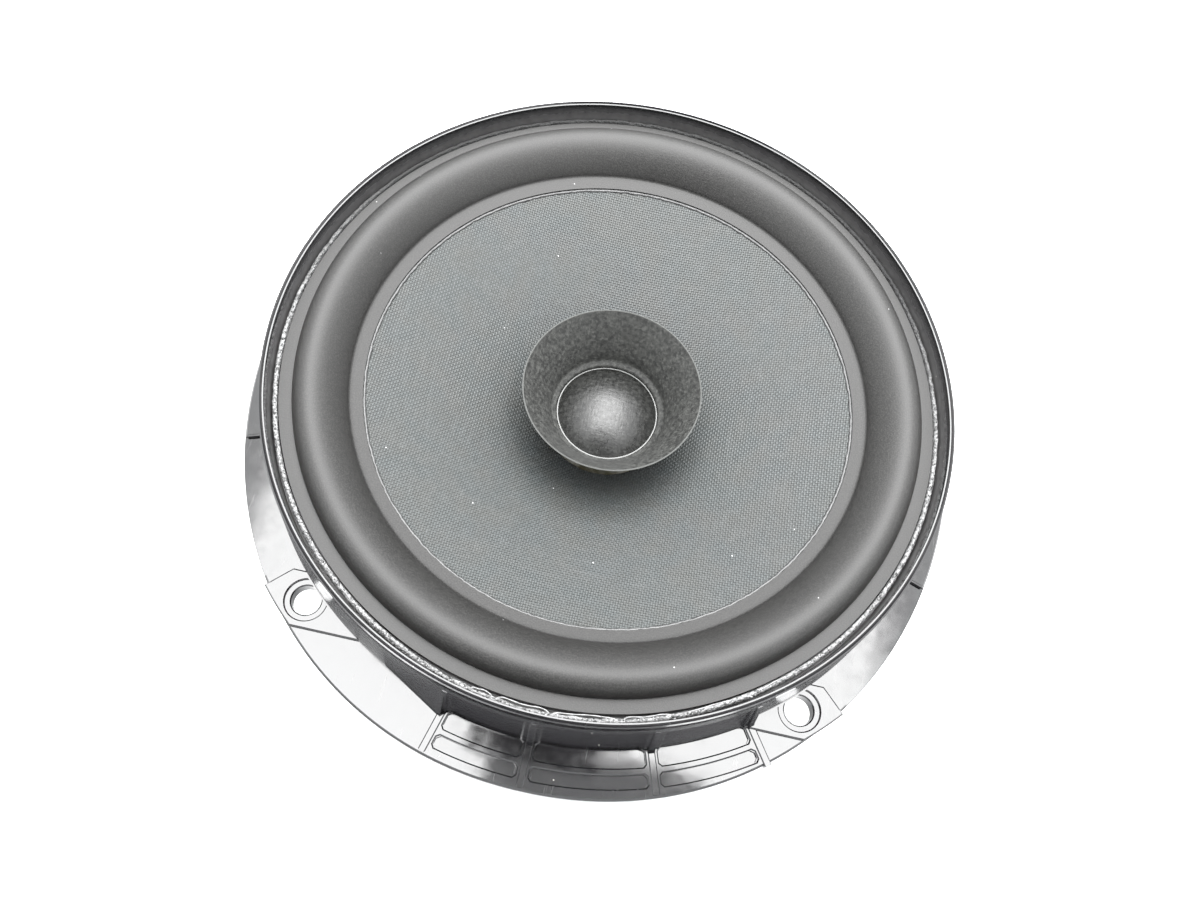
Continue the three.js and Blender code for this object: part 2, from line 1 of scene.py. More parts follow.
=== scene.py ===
import math
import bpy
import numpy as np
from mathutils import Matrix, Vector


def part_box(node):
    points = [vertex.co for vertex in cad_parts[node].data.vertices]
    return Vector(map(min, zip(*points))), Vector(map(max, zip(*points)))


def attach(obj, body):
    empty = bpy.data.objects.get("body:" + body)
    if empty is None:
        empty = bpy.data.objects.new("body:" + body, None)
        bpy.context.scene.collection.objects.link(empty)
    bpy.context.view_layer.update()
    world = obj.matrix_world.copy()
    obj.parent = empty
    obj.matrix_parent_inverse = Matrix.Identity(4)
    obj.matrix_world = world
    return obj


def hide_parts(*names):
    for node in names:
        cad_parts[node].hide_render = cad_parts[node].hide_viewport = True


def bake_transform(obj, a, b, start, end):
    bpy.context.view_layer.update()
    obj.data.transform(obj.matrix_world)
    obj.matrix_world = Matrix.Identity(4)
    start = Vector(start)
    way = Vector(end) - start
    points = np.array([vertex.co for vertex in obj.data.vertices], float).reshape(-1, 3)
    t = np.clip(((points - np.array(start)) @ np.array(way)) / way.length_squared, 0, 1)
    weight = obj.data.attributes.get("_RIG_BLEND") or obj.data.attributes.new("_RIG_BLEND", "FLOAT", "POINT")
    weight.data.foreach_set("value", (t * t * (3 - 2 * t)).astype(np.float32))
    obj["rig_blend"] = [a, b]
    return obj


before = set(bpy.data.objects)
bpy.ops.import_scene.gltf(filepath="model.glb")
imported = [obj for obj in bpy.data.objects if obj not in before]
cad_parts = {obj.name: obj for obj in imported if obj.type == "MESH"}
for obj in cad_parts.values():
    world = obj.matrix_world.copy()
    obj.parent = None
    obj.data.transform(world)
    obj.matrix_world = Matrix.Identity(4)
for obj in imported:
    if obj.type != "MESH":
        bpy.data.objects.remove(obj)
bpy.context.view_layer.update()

from types import SimpleNamespace

import bmesh
import bpy
from mathutils import Matrix, Quaternion, Vector, noise

# Shapes are given in millimetres about the part's own Z axis; finish_mesh turns them into metres.
# span and extent read the CAD nodes, so that the pieces keep to the sizes of the CAD.
MM = 0.001
FRAME = "frame"
MOVING = "moving_assembly"


def span(node):
    """Radii and heights of a CAD node about the Z axis, in millimetres."""
    points = [vertex.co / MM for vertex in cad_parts[node].data.vertices]
    distances = [math.hypot(p.x, p.y) for p in points]
    heights = [p.z for p in points]
    return SimpleNamespace(
        inner=min(distances), outer=max(distances), low=min(heights), high=max(heights)
    )


def extent(node):
    """Lowest and highest corner of a CAD node, in millimetres."""
    low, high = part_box(node)
    return low / MM, high / MM


BASKET = span("basket")
RIM_TOP = BASKET.high

# ---------------------------------------------------------------- camera, light and floor

# All lengths of this section are in metres, but for the lens and its sensor.
LENS = 30
SENSOR_WIDTH = 36
CAMERA_FROM_RIM = Vector((0, -0.1146, 0.2111))
AIM_FROM_RIM = Vector((0.0003, -0.0208, 0))
CAMERA_ROLL = math.radians(12.8)
SOFTBOX_RADIANCE = 14
CEILING_RADIANCE = 2
ROOM_RADIANCE = 2.5
ROOM_TINT = (0.97, 0.985, 1, 1)
SOFTBOX_PLACE = (0, 0.6, 1.5)
SOFTBOX_SIZE = (1.1, 1.8)
CEILING_PLACE = (0, 0, 2.6)
CEILING_SIZE = (5, 5)
FLOOR_HALF_SIZE = 6
# Size, centre and tilt in degrees of each card.
CAMERA_CARD = ((0.1, 0.12), (0.03, -0.113, 0.292), 0)
PHONE_CARD = ((0.06, 0.0185), (0.001, -0.0543, 0.2915), 0)
OPERATOR_CARD = ((0.7, 1.2), (0, -0.55, 0.85), 80)


def make_camera():
    rim = Vector((0, 0, RIM_TOP * MM))
    data = bpy.data.cameras.new("camera")
    data.lens = LENS
    data.sensor_width = SENSOR_WIDTH
    data.clip_start = 0.01
    camera = bpy.data.objects.new("camera", data)
    bpy.context.scene.collection.objects.link(camera)
    camera.location = rim + CAMERA_FROM_RIM
    look = rim + AIM_FROM_RIM - camera.location
    camera.rotation_mode = "QUATERNION"
    camera.rotation_quaternion = look.to_track_quat("-Z", "Y") @ Quaternion((0, 0, 1), CAMERA_ROLL)
    bpy.context.scene.camera = camera


def make_softbox(name, centre, size, radiance):
    """A rectangular light that shines straight down."""
    data = bpy.data.lights.new(name, "AREA")
    data.shape = "RECTANGLE"
    data.size, data.size_y = size
    data.energy = radiance * math.pi * size[0] * size[1]
    light = bpy.data.objects.new(name, data)
    light.location = centre
    bpy.context.scene.collection.objects.link(light)


def card_stock(name, tone):
    finish = Finish(name, roughness=1.0)
    finish.feed("Base Color", colour(tone))
    return finish.material


def dark_card(name, size, centre, tilt, material):
    """An unlit board seen in reflections only; it is turned about the X axis from lying flat."""
    bm = bmesh.new()
    bmesh.ops.create_grid(bm, x_segments=1, y_segments=1, size=0.5)
    bmesh.ops.scale(bm, verts=bm.verts, vec=(size[0], size[1], 1))
    bmesh.ops.rotate(bm, verts=bm.verts, matrix=Matrix.Rotation(math.radians(tilt), 3, "X"))
    bmesh.ops.translate(bm, verts=bm.verts, vec=centre)
    card = finish_mesh(name, bm, material, scale=1)
    card.visible_camera = False
    return card


def make_studio():
    """A big overhead softbox, a pale room and floor, and cards for the dark shapes near the camera."""
    make_softbox("softbox", SOFTBOX_PLACE, SOFTBOX_SIZE, SOFTBOX_RADIANCE)
    make_softbox("ceiling", CEILING_PLACE, CEILING_SIZE, CEILING_RADIANCE)
    world = bpy.data.worlds.new("studio")
    world.use_nodes = True
    background = world.node_tree.nodes["Background"]
    background.inputs["Color"].default_value = ROOM_TINT
    background.inputs["Strength"].default_value = ROOM_RADIANCE
    bpy.context.scene.world = world
    bpy.context.scene.view_settings.view_transform = "Standard"

    bm = bmesh.new()
    bmesh.ops.create_grid(bm, x_segments=1, y_segments=1, size=FLOOR_HALF_SIZE)
    floor = finish_mesh("floor", bm, pale_floor(), scale=1)
    black = card_stock("black_card", 0.01)
    grey = card_stock("grey_card", 0.5)
    camera_card = dark_card("camera_card", *CAMERA_CARD, grey)
    operator_card = dark_card("operator_card", *OPERATOR_CARD, black)
    phone_card = dark_card("phone_card", *PHONE_CARD, black)


# ---------------------------------------------------------------- mesh tools

ROUND_STEPS = 192


def finish_mesh(name, bm, material, smooth_angle=35, scale=MM):
    """Turns a bmesh in millimetres into an object in metres, smooth except across real edges."""
    bmesh.ops.recalc_face_normals(bm, faces=bm.faces)
    bmesh.ops.scale(bm, verts=bm.verts, vec=(scale, scale, scale))
    mesh = bpy.data.meshes.new(name)
    bm.to_mesh(mesh)
    bm.free()
    mesh.shade_smooth()
    mesh.set_sharp_from_angle(angle=math.radians(smooth_angle))
    mesh.materials.append(material)
    piece = bpy.data.objects.new(name, mesh)
    bpy.context.scene.collection.objects.link(piece)
    return piece


def spun(outline, steps=ROUND_STEPS):
    """A turned solid: a closed outline of (radius, z) points, spun about the Z axis."""
    bm = bmesh.new()
    points = [bm.verts.new((radius, 0, z)) for radius, z in outline]
    lines = [bm.edges.new(pair) for pair in zip(points, points[1:])]
    if outline[0][0] > 0 or outline[-1][0] > 0:
        lines.append(bm.edges.new((points[-1], points[0])))
    bmesh.ops.spin(
        bm, geom=points + lines, cent=(0, 0, 0), axis=(0, 0, 1),
        angle=2 * math.pi, steps=steps, use_merge=True,
    )
    bmesh.ops.remove_doubles(bm, verts=bm.verts, dist=1e-4)
    bmesh.ops.recalc_face_normals(bm, faces=bm.faces)
    return bm


def prism(outline, low, high, top_edge=0.0, low_edge=0.0):
    """A flat outline of (x, y) points, extruded from one height to another, its rims bevelled."""
    bm = bmesh.new()
    face = bm.faces.new([bm.verts.new((x, y, low)) for x, y in outline])
    raised = bmesh.ops.extrude_face_region(bm, geom=[face])["geom"]
    top = [item for item in raised if isinstance(item, bmesh.types.BMVert)]
    bmesh.ops.translate(bm, verts=top, vec=(0, 0, high - low))
    bmesh.ops.recalc_face_normals(bm, faces=bm.faces)
    for height, width in ((low, low_edge), (high, top_edge)):
        if width:
            rim = [e for e in bm.edges if all(abs(v.co.z - height) < 1e-4 for v in e.verts)]
            soften(bm, rim, width)
    return bm


def soften(bm, edges, width):
    bmesh.ops.bevel(
        bm, geom=edges, offset=width, segments=1, affect="EDGES", profile=0.5, material=-1
    )


def upright(outline, thickness, degrees, edge=0.0):
    """A plate whose outline is (distance from the axis, z), standing on the line at that angle."""
    bm = prism(outline, -thickness / 2, thickness / 2, edge, edge)
    turn = Matrix.Rotation(math.radians(degrees), 4, "Z") @ Matrix.Rotation(math.pi / 2, 4, "X")
    bmesh.ops.transform(bm, matrix=turn, verts=bm.verts)
    return bm


def block(x_span, y_span, z_span):
    (left, right), (near, far) = x_span, y_span
    return prism([(left, near), (right, near), (right, far), (left, far)], *z_span)


def turned_at(x, y, outline, sides=64):
    """A small turned solid whose own axis stands at (x, y)."""
    bm = spun(outline, sides)
    bmesh.ops.translate(bm, verts=bm.verts, vec=(x, y, 0))
    return bm


def arc(radius, start, end, steps, centre=(0, 0)):
    """Points along an arc, in degrees, both ends included."""
    angles = [math.radians(start + (end - start) * i / steps) for i in range(steps + 1)]
    return [(centre[0] + radius * math.cos(a), centre[1] + radius * math.sin(a)) for a in angles]


def wire(points, thickness, kind, resolution):
    """A round wire along (x, y, z, relative thickness) points, as straight runs or one smooth curve."""
    curve = bpy.data.curves.new("wire", "CURVE")
    curve.dimensions = "3D"
    curve.bevel_depth = thickness / 2
    curve.bevel_resolution = resolution
    curve.use_fill_caps = True
    spline = curve.splines.new(kind)
    spline.points.add(len(points) - 1)
    for point, (x, y, z, share) in zip(spline.points, points):
        point.co = (x, y, z, 1)
        point.radius = share
    if kind == "NURBS":
        spline.use_endpoint_u = True
        spline.order_u = 4
    holder = bpy.data.objects.new("wire", curve)
    bpy.context.scene.collection.objects.link(holder)
    bm = bmesh.new()
    bm.from_mesh(bpy.data.meshes.new_from_object(holder))
    bpy.data.curves.remove(curve)
    return bm


def ribbon(line, thickness):
    """Closed outline of a sheet of even thickness along a line of (radius, z) points."""
    above, below = [], []
    for i, (radius, z) in enumerate(line):
        before = Vector(line[max(i - 1, 0)])
        after = Vector(line[min(i + 1, len(line) - 1)])
        along = (after - before).normalized()
        across = Vector((-along.y, along.x)) * thickness / 2
        above.append((radius + across.x, z + across.y))
        below.append((radius - across.x, z - across.y))
    return below + above[::-1]


def merged(parts):
    """Several closed bmeshes as one."""
    whole = bmesh.new()
    for part in parts:
        mesh = bpy.data.meshes.new("part")
        part.to_mesh(mesh)
        part.free()
        whole.from_mesh(mesh)
        bpy.data.meshes.remove(mesh)
    return whole


def combine(body, tools, operation):
    """Joins, cuts or trims a closed bmesh with others, and returns the result."""
    objects = []
    for bm in [body, *tools]:
        mesh = bpy.data.meshes.new("tool")
        bm.to_mesh(mesh)
        bm.free()
        tool = bpy.data.objects.new("tool", mesh)
        bpy.context.scene.collection.objects.link(tool)
        objects.append(tool)
    for tool in objects[1:]:
        step = objects[0].modifiers.new("step", "BOOLEAN")
        step.operation = operation
        step.solver = "MANIFOLD"
        step.object = tool
    result = bmesh.new()
    result.from_object(objects[0], bpy.context.evaluated_depsgraph_get())
    for tool in objects:
        bpy.data.meshes.remove(tool.data)
    return result


def rounded(piece, width):
    """Softens the piece's real edges by a bevel and keeps its flats flat."""
    bevel = piece.modifiers.new("edges", "BEVEL")
    bevel.width = width * MM
    bevel.segments = 2
    bevel.limit_method = "ANGLE"
    bevel.angle_limit = math.radians(30)
    bevel.use_clamp_overlap = True
    flats = piece.modifiers.new("flats", "WEIGHTED_NORMAL")
    flats.keep_sharp = True


def place(piece, body, slot, *nodes):
    """The piece rides on a body and stands for the CAD nodes named; slot is not used."""
    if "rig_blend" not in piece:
        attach(piece, body)
    if nodes:
        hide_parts(*nodes)


def flex(piece, moving_radius, fixed_radius):
    """Inside moving_radius the piece follows the cone, outside fixed_radius the frame."""
    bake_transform(piece, FRAME, MOVING, start=(fixed_radius * MM, 0, 0), end=(moving_radius * MM, 0, 0))
    weights = []
    for vertex in piece.data.vertices:
        radius = math.hypot(vertex.co.x, vertex.co.y) / MM
        share = min(max((fixed_radius - radius) / (fixed_radius - moving_radius), 0), 1)
        weights.append(share * share * (3 - 2 * share))
    piece.data.attributes["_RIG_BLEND"].data.foreach_set("value", weights)


# ---------------------------------------------------------------- material tools


def add_node(tree, kind, inputs=None, **settings):
    """A shader node with its settings, and its inputs set to values or linked to sockets."""
    node = tree.nodes.new(kind)
    for key, value in settings.items():
        setattr(node, key, value)
    for socket, value in (inputs or {}).items():
        if isinstance(value, bpy.types.NodeSocket):
            tree.links.new(value, node.inputs[socket])
        else:
            node.inputs[socket].default_value = value
    return node


def math_node(tree, operation, first, second=0.0, third=0.0):
    node = add_node(tree, "ShaderNodeMath", {0: first, 1: second, 2: third}, operation=operation)
    return node.outputs[0]


def mix_colours(tree, factor, first, second):
    node = add_node(tree, "ShaderNodeMix", data_type="RGBA")
    for socket, value in ((node.inputs[0], factor), (node.inputs[6], first), (node.inputs[7], second)):
        if isinstance(value, bpy.types.NodeSocket):
            tree.links.new(value, socket)
        else:
            socket.default_value = value
    return node.outputs[2]


def map_range(tree, value, low, high, to_low, to_high):
    """A value in low..high, taken to to_low..to_high and held at the ends."""
    inputs = {"Value": value, "From Min": low, "From Max": high, "To Min": to_low, "To Max": to_high}
    return add_node(tree, "ShaderNodeMapRange", inputs).outputs["Result"]


def fade_in(tree, value, ends):
    """0 below the first of two distances in millimetres, and 1 above the second."""
    return map_range(tree, value, ends[0] * MM, ends[1] * MM, 0, 1)


def fade_out(tree, value, ends):
    return map_range(tree, value, ends[0] * MM, ends[1] * MM, 1, 0)


def product(tree, first, *others):
    for other in others:
        first = math_node(tree, "MULTIPLY", first, other)
    return first


def colour(value, tint=(1, 1, 1)):
    return (value * tint[0], value * tint[1], value * tint[2], 1)


class Finish:
    """One material being built: its tree, its Principled shader and its object coordinates."""

    def __init__(self, name, roughness=0.5, metallic=0.0):
        self.material = bpy.data.materials.new(name)
        self.material.use_nodes = True
        self.tree = self.material.node_tree
        self.shader = self.tree.nodes["Principled BSDF"]
        self.shader.inputs["Roughness"].default_value = roughness
        self.shader.inputs["Metallic"].default_value = metallic
        self.place = add_node(self.tree, "ShaderNodeTexCoord").outputs["Object"]

    def group(self, tree_of_group, **inputs):
        node = add_node(self.tree, "ShaderNodeGroup", node_tree=tree_of_group)
        for name, value in {"Place": self.place, **inputs}.items():
            socket = node.inputs[name.replace("_", " ")]
            if isinstance(value, bpy.types.NodeSocket):
                self.tree.links.new(value, socket)
            else:
                socket.default_value = value
        return node.outputs

    def feed(self, socket, value):
        if isinstance(value, bpy.types.NodeSocket):
            self.tree.links.new(value, self.shader.inputs[socket])
        else:
            self.shader.inputs[socket].default_value = value

    def bump(self, height, depth):
        """Adds a bump of that depth in millimetres under any bump made before it."""
        inputs = {"Height": height, "Distance": depth * MM, "Strength": 1}
        node = add_node(self.tree, "ShaderNodeBump", inputs)
        linked = self.shader.inputs["Normal"].links
        if linked:
            self.tree.links.new(linked[0].from_socket, node.inputs["Normal"])
        self.tree.links.new(node.outputs["Normal"], self.shader.inputs["Normal"])

    def radius(self):
        """Distance from the Z axis, in metres."""
        flat = add_node(
            self.tree, "ShaderNodeVectorMath", {0: self.place, 1: (1, 1, 0)}, operation="MULTIPLY"
        )
        length = add_node(self.tree, "ShaderNodeVectorMath", {0: flat.outputs[0]}, operation="LENGTH")
        return length.outputs["Value"]

    def height(self):
        return self.along("Z")

    def along(self, axis):
        return add_node(self.tree, "ShaderNodeSeparateXYZ", {0: self.place}).outputs[axis]

    def noise(self, size, detail=2.0, stretch=(1, 1, 1)):
        """Noise whose lumps are about `size` millimetres across, from 0 to 1."""
        spread = add_node(self.tree, "ShaderNodeMapping", {"Vector": self.place, "Scale": stretch})
        inputs = {"Vector": spread.outputs[0], "Scale": 1 / (size * MM), "Detail": detail}
        return add_node(self.tree, "ShaderNodeTexNoise", inputs).outputs["Fac"]

    def cells(self, size):
        """Cells about `size` millimetres across: their Distance and Color outputs."""
        inputs = {"Vector": self.place, "Scale": 1 / (size * MM)}
        return add_node(self.tree, "ShaderNodeTexVoronoi", inputs).outputs


def new_group(name, inputs, outputs):
    """An empty shader node group with float inputs, a Place vector and named outputs."""
    tree = bpy.data.node_groups.new(name, "ShaderNodeTree")
    tree.interface.new_socket("Place", in_out="INPUT", socket_type="NodeSocketVector")
    for socket, default in inputs.items():
        entry = tree.interface.new_socket(socket, in_out="INPUT", socket_type="NodeSocketFloat")
        entry.default_value = default
    for socket in outputs:
        tree.interface.new_socket(socket, in_out="OUTPUT", socket_type="NodeSocketFloat")
    start = tree.nodes.new("NodeGroupInput")
    end = tree.nodes.new("NodeGroupOutput")
    return tree, start.outputs, end.inputs


def plain_weave_group():
    """Over-and-under threads along X and Y. Height rises over each thread; Warp tells the two apart."""
    tree, given, wanted = new_group("plain_weave", {"Pitch": 0.0005}, ["Height", "Warp"])
    scaled = add_node(tree, "ShaderNodeVectorMath", {0: given["Place"]}, operation="SCALE")
    tree.links.new(math_node(tree, "DIVIDE", 1.0, given["Pitch"]), scaled.inputs["Scale"])
    split = add_node(tree, "ShaderNodeSeparateXYZ", {0: scaled.outputs[0]})
    across, along = split.outputs["X"], split.outputs["Y"]
    crowns = []
    for direction in (across, along):
        wave = math_node(tree, "SINE", math_node(tree, "MULTIPLY", direction, math.pi))
        crowns.append(math_node(tree, "ABSOLUTE", wave))
    steps = math_node(tree, "ADD", math_node(tree, "FLOOR", across), math_node(tree, "FLOOR", along))
    warp = math_node(tree, "WRAP", steps, 2.0, 0.0)
    upper = math_node(tree, "MULTIPLY", crowns[0], warp)
    lower = math_node(tree, "MULTIPLY", crowns[1], math_node(tree, "SUBTRACT", 1.0, warp))
    tree.links.new(math_node(tree, "ADD", upper, lower), wanted["Height"])
    tree.links.new(warp, wanted["Warp"])
    return tree


def dust_group():
    """Scattered specks. Mask is 1 on a speck; Amount is the share of cells that hold one."""
    tree, given, wanted = new_group("dust_specks", {"Cell": 0.003, "Amount": 0.2, "Size": 0.1}, ["Mask"])
    scale = math_node(tree, "DIVIDE", 1.0, given["Cell"])
    cells = add_node(tree, "ShaderNodeTexVoronoi", {"Vector": given["Place"], "Scale": scale})
    near = math_node(tree, "LESS_THAN", cells.outputs["Distance"], given["Size"])
    pick = add_node(tree, "ShaderNodeSeparateColor", {0: cells.outputs["Color"]}).outputs[0]
    chosen = math_node(tree, "LESS_THAN", pick, given["Amount"])
    tree.links.new(math_node(tree, "MULTIPLY", near, chosen), wanted["Mask"])
    return tree


def fibre_group():
    """Pressed paper fibres. Height is the felt surface; Mottle is the slow light and dark of the pulp."""
    tree, given, wanted = new_group("paper_fibre", {"Size": 0.0012}, ["Height", "Mottle"])
    fine = math_node(tree, "DIVIDE", 1.0, given["Size"])
    felt = []
    for stretch in ((1, 0.25, 0.6), (0.25, 1, 0.6), (0.6, 0.6, 0.2)):
        turned = add_node(tree, "ShaderNodeMapping", {"Vector": given["Place"], "Scale": stretch})
        inputs = {"Vector": turned.outputs[0], "Scale": fine, "Detail": 3.0}
        felt.append(add_node(tree, "ShaderNodeTexNoise", inputs).outputs["Fac"])
    total = math_node(tree, "ADD", math_node(tree, "ADD", felt[0], felt[1]), felt[2])
    tree.links.new(math_node(tree, "DIVIDE", total, 3.0), wanted["Height"])
    coarse = math_node(tree, "MULTIPLY", fine, 0.45)
    slow = add_node(tree, "ShaderNodeTexNoise", {"Vector": given["Place"], "Scale": coarse, "Detail": 4.0})
    tree.links.new(slow.outputs["Fac"], wanted["Mottle"])
    return tree


WEAVE = plain_weave_group()
DUST = dust_group()
FIBRE = fibre_group()

# ---------------------------------------------------------------- finishes


def cloudy(name, roughness, size, dark, light, detail=2.0):
    """A finish that drifts between two colours, in lumps of that size in millimetres."""
    finish = Finish(name, roughness=roughness)
    finish.feed("Base Color", mix_colours(finish.tree, finish.noise(size, detail), dark, light))
    return finish


def pale_floor():
    return cloudy("pale_floor", 0.9, 60, colour(0.8), colour(0.83)).material


def glossy_black_moulding():
    """Injection-moulded basket: near mirror gloss, faint flow waves, hairline scuffs, dust, dull groove."""
    finish = Finish("glossy_black_moulding")
    finish.feed("IOR", 1.57)
    tree = finish.tree
    patches = finish.noise(14, 3.0)
    haze = finish.noise(3, 5.0)
    scratches = map_range(tree, finish.noise(0.5, 2.0, (1, 0.04, 1)), 0.68, 0.72, 0, 1)
    dust = finish.group(DUST, Cell=0.0028, Amount=0.22, Size=0.06)["Mask"]
    radius, height = finish.radius(), finish.height()
    groove = product(
        tree, fade_out(tree, radius, RESIDUE_OUTSIDE),
        fade_in(tree, height, RESIDUE_BOTTOM), fade_out(tree, height, RESIDUE_TOP),
    )
    residue = product(tree, groove, map_range(tree, finish.noise(2.5, 3.0), 0.3, 0.6, 0.75, 1))
    wall = product(
        tree, fade_in(tree, radius, DULL_WALL_INSIDE),
        fade_in(tree, height, DULL_WALL_BOTTOM), fade_out(tree, height, DULL_WALL_TOP),
    )
    gloss_black = mix_colours(tree, patches, colour(0.008), colour(0.013, (1, 1, 1.1)))
    plain = mix_colours(tree, wall, gloss_black, colour(0.022, (0.97, 0.98, 1.04)))
    scuffed = mix_colours(tree, scratches, plain, colour(0.035))
    dirty = mix_colours(tree, residue, scuffed, colour(0.1, (1.02, 1, 1)))
    finish.feed("Base Color", mix_colours(tree, dust, dirty, colour(0.35, (1, 0.97, 0.9))))
    rough = map_range(tree, haze, 0.3, 0.75, 0.05, 0.13)
    for mask, roughness in ((wall, 0.24), (residue, 0.55), (dust, 0.9)):
        rough = math_node(tree, "MAXIMUM", rough, product(tree, mask, roughness))
    finish.feed("Roughness", rough)
    finish.bump(finish.noise(9, 1.0), 0.03)
    return finish.material


def satin_rubber():
    """Surround: dark warm-grey moulded rubber with a fine matt grain and a few pale specks."""
    finish = Finish("satin_rubber")
    finish.feed("IOR", 1.47)
    tree = finish.tree
    grain = finish.noise(0.3, 4.0)
    haze = finish.noise(9, 3.0)
    dust = finish.group(DUST, Cell=0.0032, Amount=0.16, Size=0.045)["Mask"]
    warm = (1, 0.96, 0.9)
    base = mix_colours(tree, haze, colour(0.006, warm), colour(0.009, warm))
    grit = map_range(tree, grain, 0.42, 0.66, 0, 1)
    speckled = mix_colours(tree, grit, base, colour(0.024, (1, 0.97, 0.92)))
    finish.feed("Base Color", mix_colours(tree, dust, speckled, colour(0.4)))
    finish.feed("Roughness", map_range(tree, grain, 0.3, 0.7, 0.46, 0.58))
    finish.bump(grain, 0.035)
    return finish.material


def granular_adhesive():
    """Silver-grey grains on the near side; towards the far side a painted shade darkens the colour and the
    finish turns dull.
    """
    finish = Finish("granular_adhesive")
    tree = finish.tree
    grains = finish.cells(0.45)
    flecks = add_node(tree, "ShaderNodeSeparateColor", {0: grains["Color"]}).outputs[0]
    # Painted shade: the grains fade to a dark colour towards the far side, where the roughness also rises.
    far = fade_in(tree, finish.along("Y"), ADHESIVE_SHADE_AND_DULL_SPAN)
    granules = mix_colours(tree, flecks, colour(0.04), colour(0.3))
    finish.feed("Base Color", mix_colours(tree, far, granules, colour(0.02)))
    shine = map_range(tree, flecks, 0, 1, 0.2, 0.5)
    finish.feed("Roughness", math_node(tree, "MAXIMUM", shine, product(tree, far, 0.75)))
    finish.bump(grains["Distance"], -0.25)
    return finish.material


def glue_skin():
    """Thin glossy film where the bead was pulled away from the surround."""
    finish = cloudy("glue_skin", 0.25, 0.8, colour(0.12), colour(0.4))
    finish.bump(finish.noise(0.5), 0.05)
    return finish.material


def woven_cone_cloth():
    """Coated plain weave, grey-green, with slow colour drift, uneven threads and a few dust specks."""
    finish = Finish("woven_cone_cloth")
    tree = finish.tree
    weave = finish.group(WEAVE, Pitch=0.0006)
    drift = map_range(tree, finish.noise(7, 4.0), 0.35, 0.65, 0, 1)
    slub = finish.noise(0.6, 3.0, (1, 0.06, 1))
    cross_slub = finish.noise(0.6, 3.0, (0.06, 1, 1))
    dust = finish.group(DUST, Cell=0.0045, Amount=0.12, Size=0.035)["Mask"]
    thread = mix_colours(tree, weave["Warp"], colour(0.03, (0.84, 1, 1)), colour(0.052, (0.86, 1, 1)))
    tinted = mix_colours(tree, product(tree, drift, 0.6), thread, colour(0.042, (1, 1, 0.9)))
    gaps = map_range(tree, weave["Height"], 0, 0.8, 0.1, 1.0)
    shaded = mix_colours(tree, gaps, colour(0.01), tinted)
    streaks = map_range(tree, math_node(tree, "MAXIMUM", slub, cross_slub), 0.5, 0.75, 0, 0.35)
    streaked = mix_colours(tree, streaks, shaded, colour(0.075, (0.95, 1, 1)))
    finish.feed("Base Color", mix_colours(tree, dust, streaked, colour(0.5)))
    finish.feed("Roughness", map_range(tree, weave["Height"], 0, 1, 0.75, 0.48))
    finish.bump(weave["Height"], 0.1)
    return finish.material


def edge_glue():
    return cloudy("edge_glue", 0.35, 1.1, colour(0.03), colour(0.12), 3.0).material


def fibre_paper(name, dark, light, cut_edge, roughness, cut_tone):
    """Pressed paper, mottled, pale at its cut edge: outside and above the (radius, height) in mm."""
    finish = Finish(name)
    tree = finish.tree
    fibre = finish.group(FIBRE, Size=0.0005)
    mottle = map_range(tree, fibre["Mottle"], 0.38, 0.62, 0, 1)
    pulp = mix_colours(tree, mottle, colour(dark, (0.97, 1, 0.94)), colour(light, (0.98, 1, 0.93)))
    strands = map_range(tree, fibre["Height"], 0.5, 0.62, 0, 0.5)
    body = mix_colours(tree, strands, pulp, colour(light * 2.4, (0.98, 1, 0.93)))
    outside = fade_in(tree, finish.radius(), (cut_edge[0] - 0.04, cut_edge[0]))
    above = fade_in(tree, finish.height(), (cut_edge[1] - 0.08, cut_edge[1]))
    edge = product(tree, outside, above)
    finish.feed("Base Color", mix_colours(tree, edge, body, colour(cut_tone, (0.98, 1, 0.96))))
    rough = map_range(tree, fibre["Height"], 0.4, 0.6, roughness - 0.1, roughness + 0.1)
    finish.feed("Roughness", rough)
    finish.bump(fibre["Height"], 0.12)
    return finish.material


def amber_glue():
    finish = cloudy("amber_glue", 0.3, 2.5, colour(0.018, (1, 0.92, 0.4)), colour(0.04, (1, 0.9, 0.45)))
    finish.bump(finish.noise(1.8), 0.2)
    return finish.material


def resin_cloth():
    """Spider: resin-stiffened plain weave, amber."""
    finish = Finish("resin_cloth", roughness=0.7)
    tree = finish.tree
    weave = finish.group(WEAVE, Pitch=0.0009)
    pale, deep = colour(0.35, (1, 0.68, 0.24)), colour(0.45, (1, 0.7, 0.28))
    tone = mix_colours(tree, finish.noise(6, 3.0), pale, deep)
    crowns = map_range(tree, weave["Height"], 0, 0.6, 0.5, 1)
    finish.feed("Base Color", mix_colours(tree, crowns, colour(0.1, (1, 0.6, 0.2)), tone))
    finish.bump(weave["Height"], 0.12)
    return finish.material


def closed_cell_foam():
    finish = Finish("closed_cell_foam", roughness=0.92)
    cells = finish.cells(0.7)["Distance"]
    finish.feed("Base Color", mix_colours(finish.tree, cells, colour(0.035), colour(0.015)))
    finish.bump(cells, 0.25)
    return finish.material


def plated_steel(name, tone):
    """Zinc-plated steel: turning rings about the axis, cloudy passivation, light rubs."""
    finish = Finish(name, metallic=1.0)
    tree = finish.tree
    stretched = product(tree, finish.radius(), 6000)
    line = add_node(tree, "ShaderNodeCombineXYZ", {"X": stretched}).outputs[0]
    rings = add_node(tree, "ShaderNodeTexNoise", {"Vector": line, "Scale": 1, "Detail": 3.0}).outputs["Fac"]
    cloud = finish.noise(11, 4.0)
    base = mix_colours(tree, cloud, colour(tone, (1, 0.98, 0.92)), colour(tone * 1.25, (0.98, 1, 1)))
    finish.feed("Base Color", base)
    rubs = math_node(tree, "ADD", cloud, rings)
    finish.feed("Roughness", map_range(tree, rubs, 0.6, 1.4, 0.28, 0.5))
    finish.bump(rings, 0.01)
    return finish.material


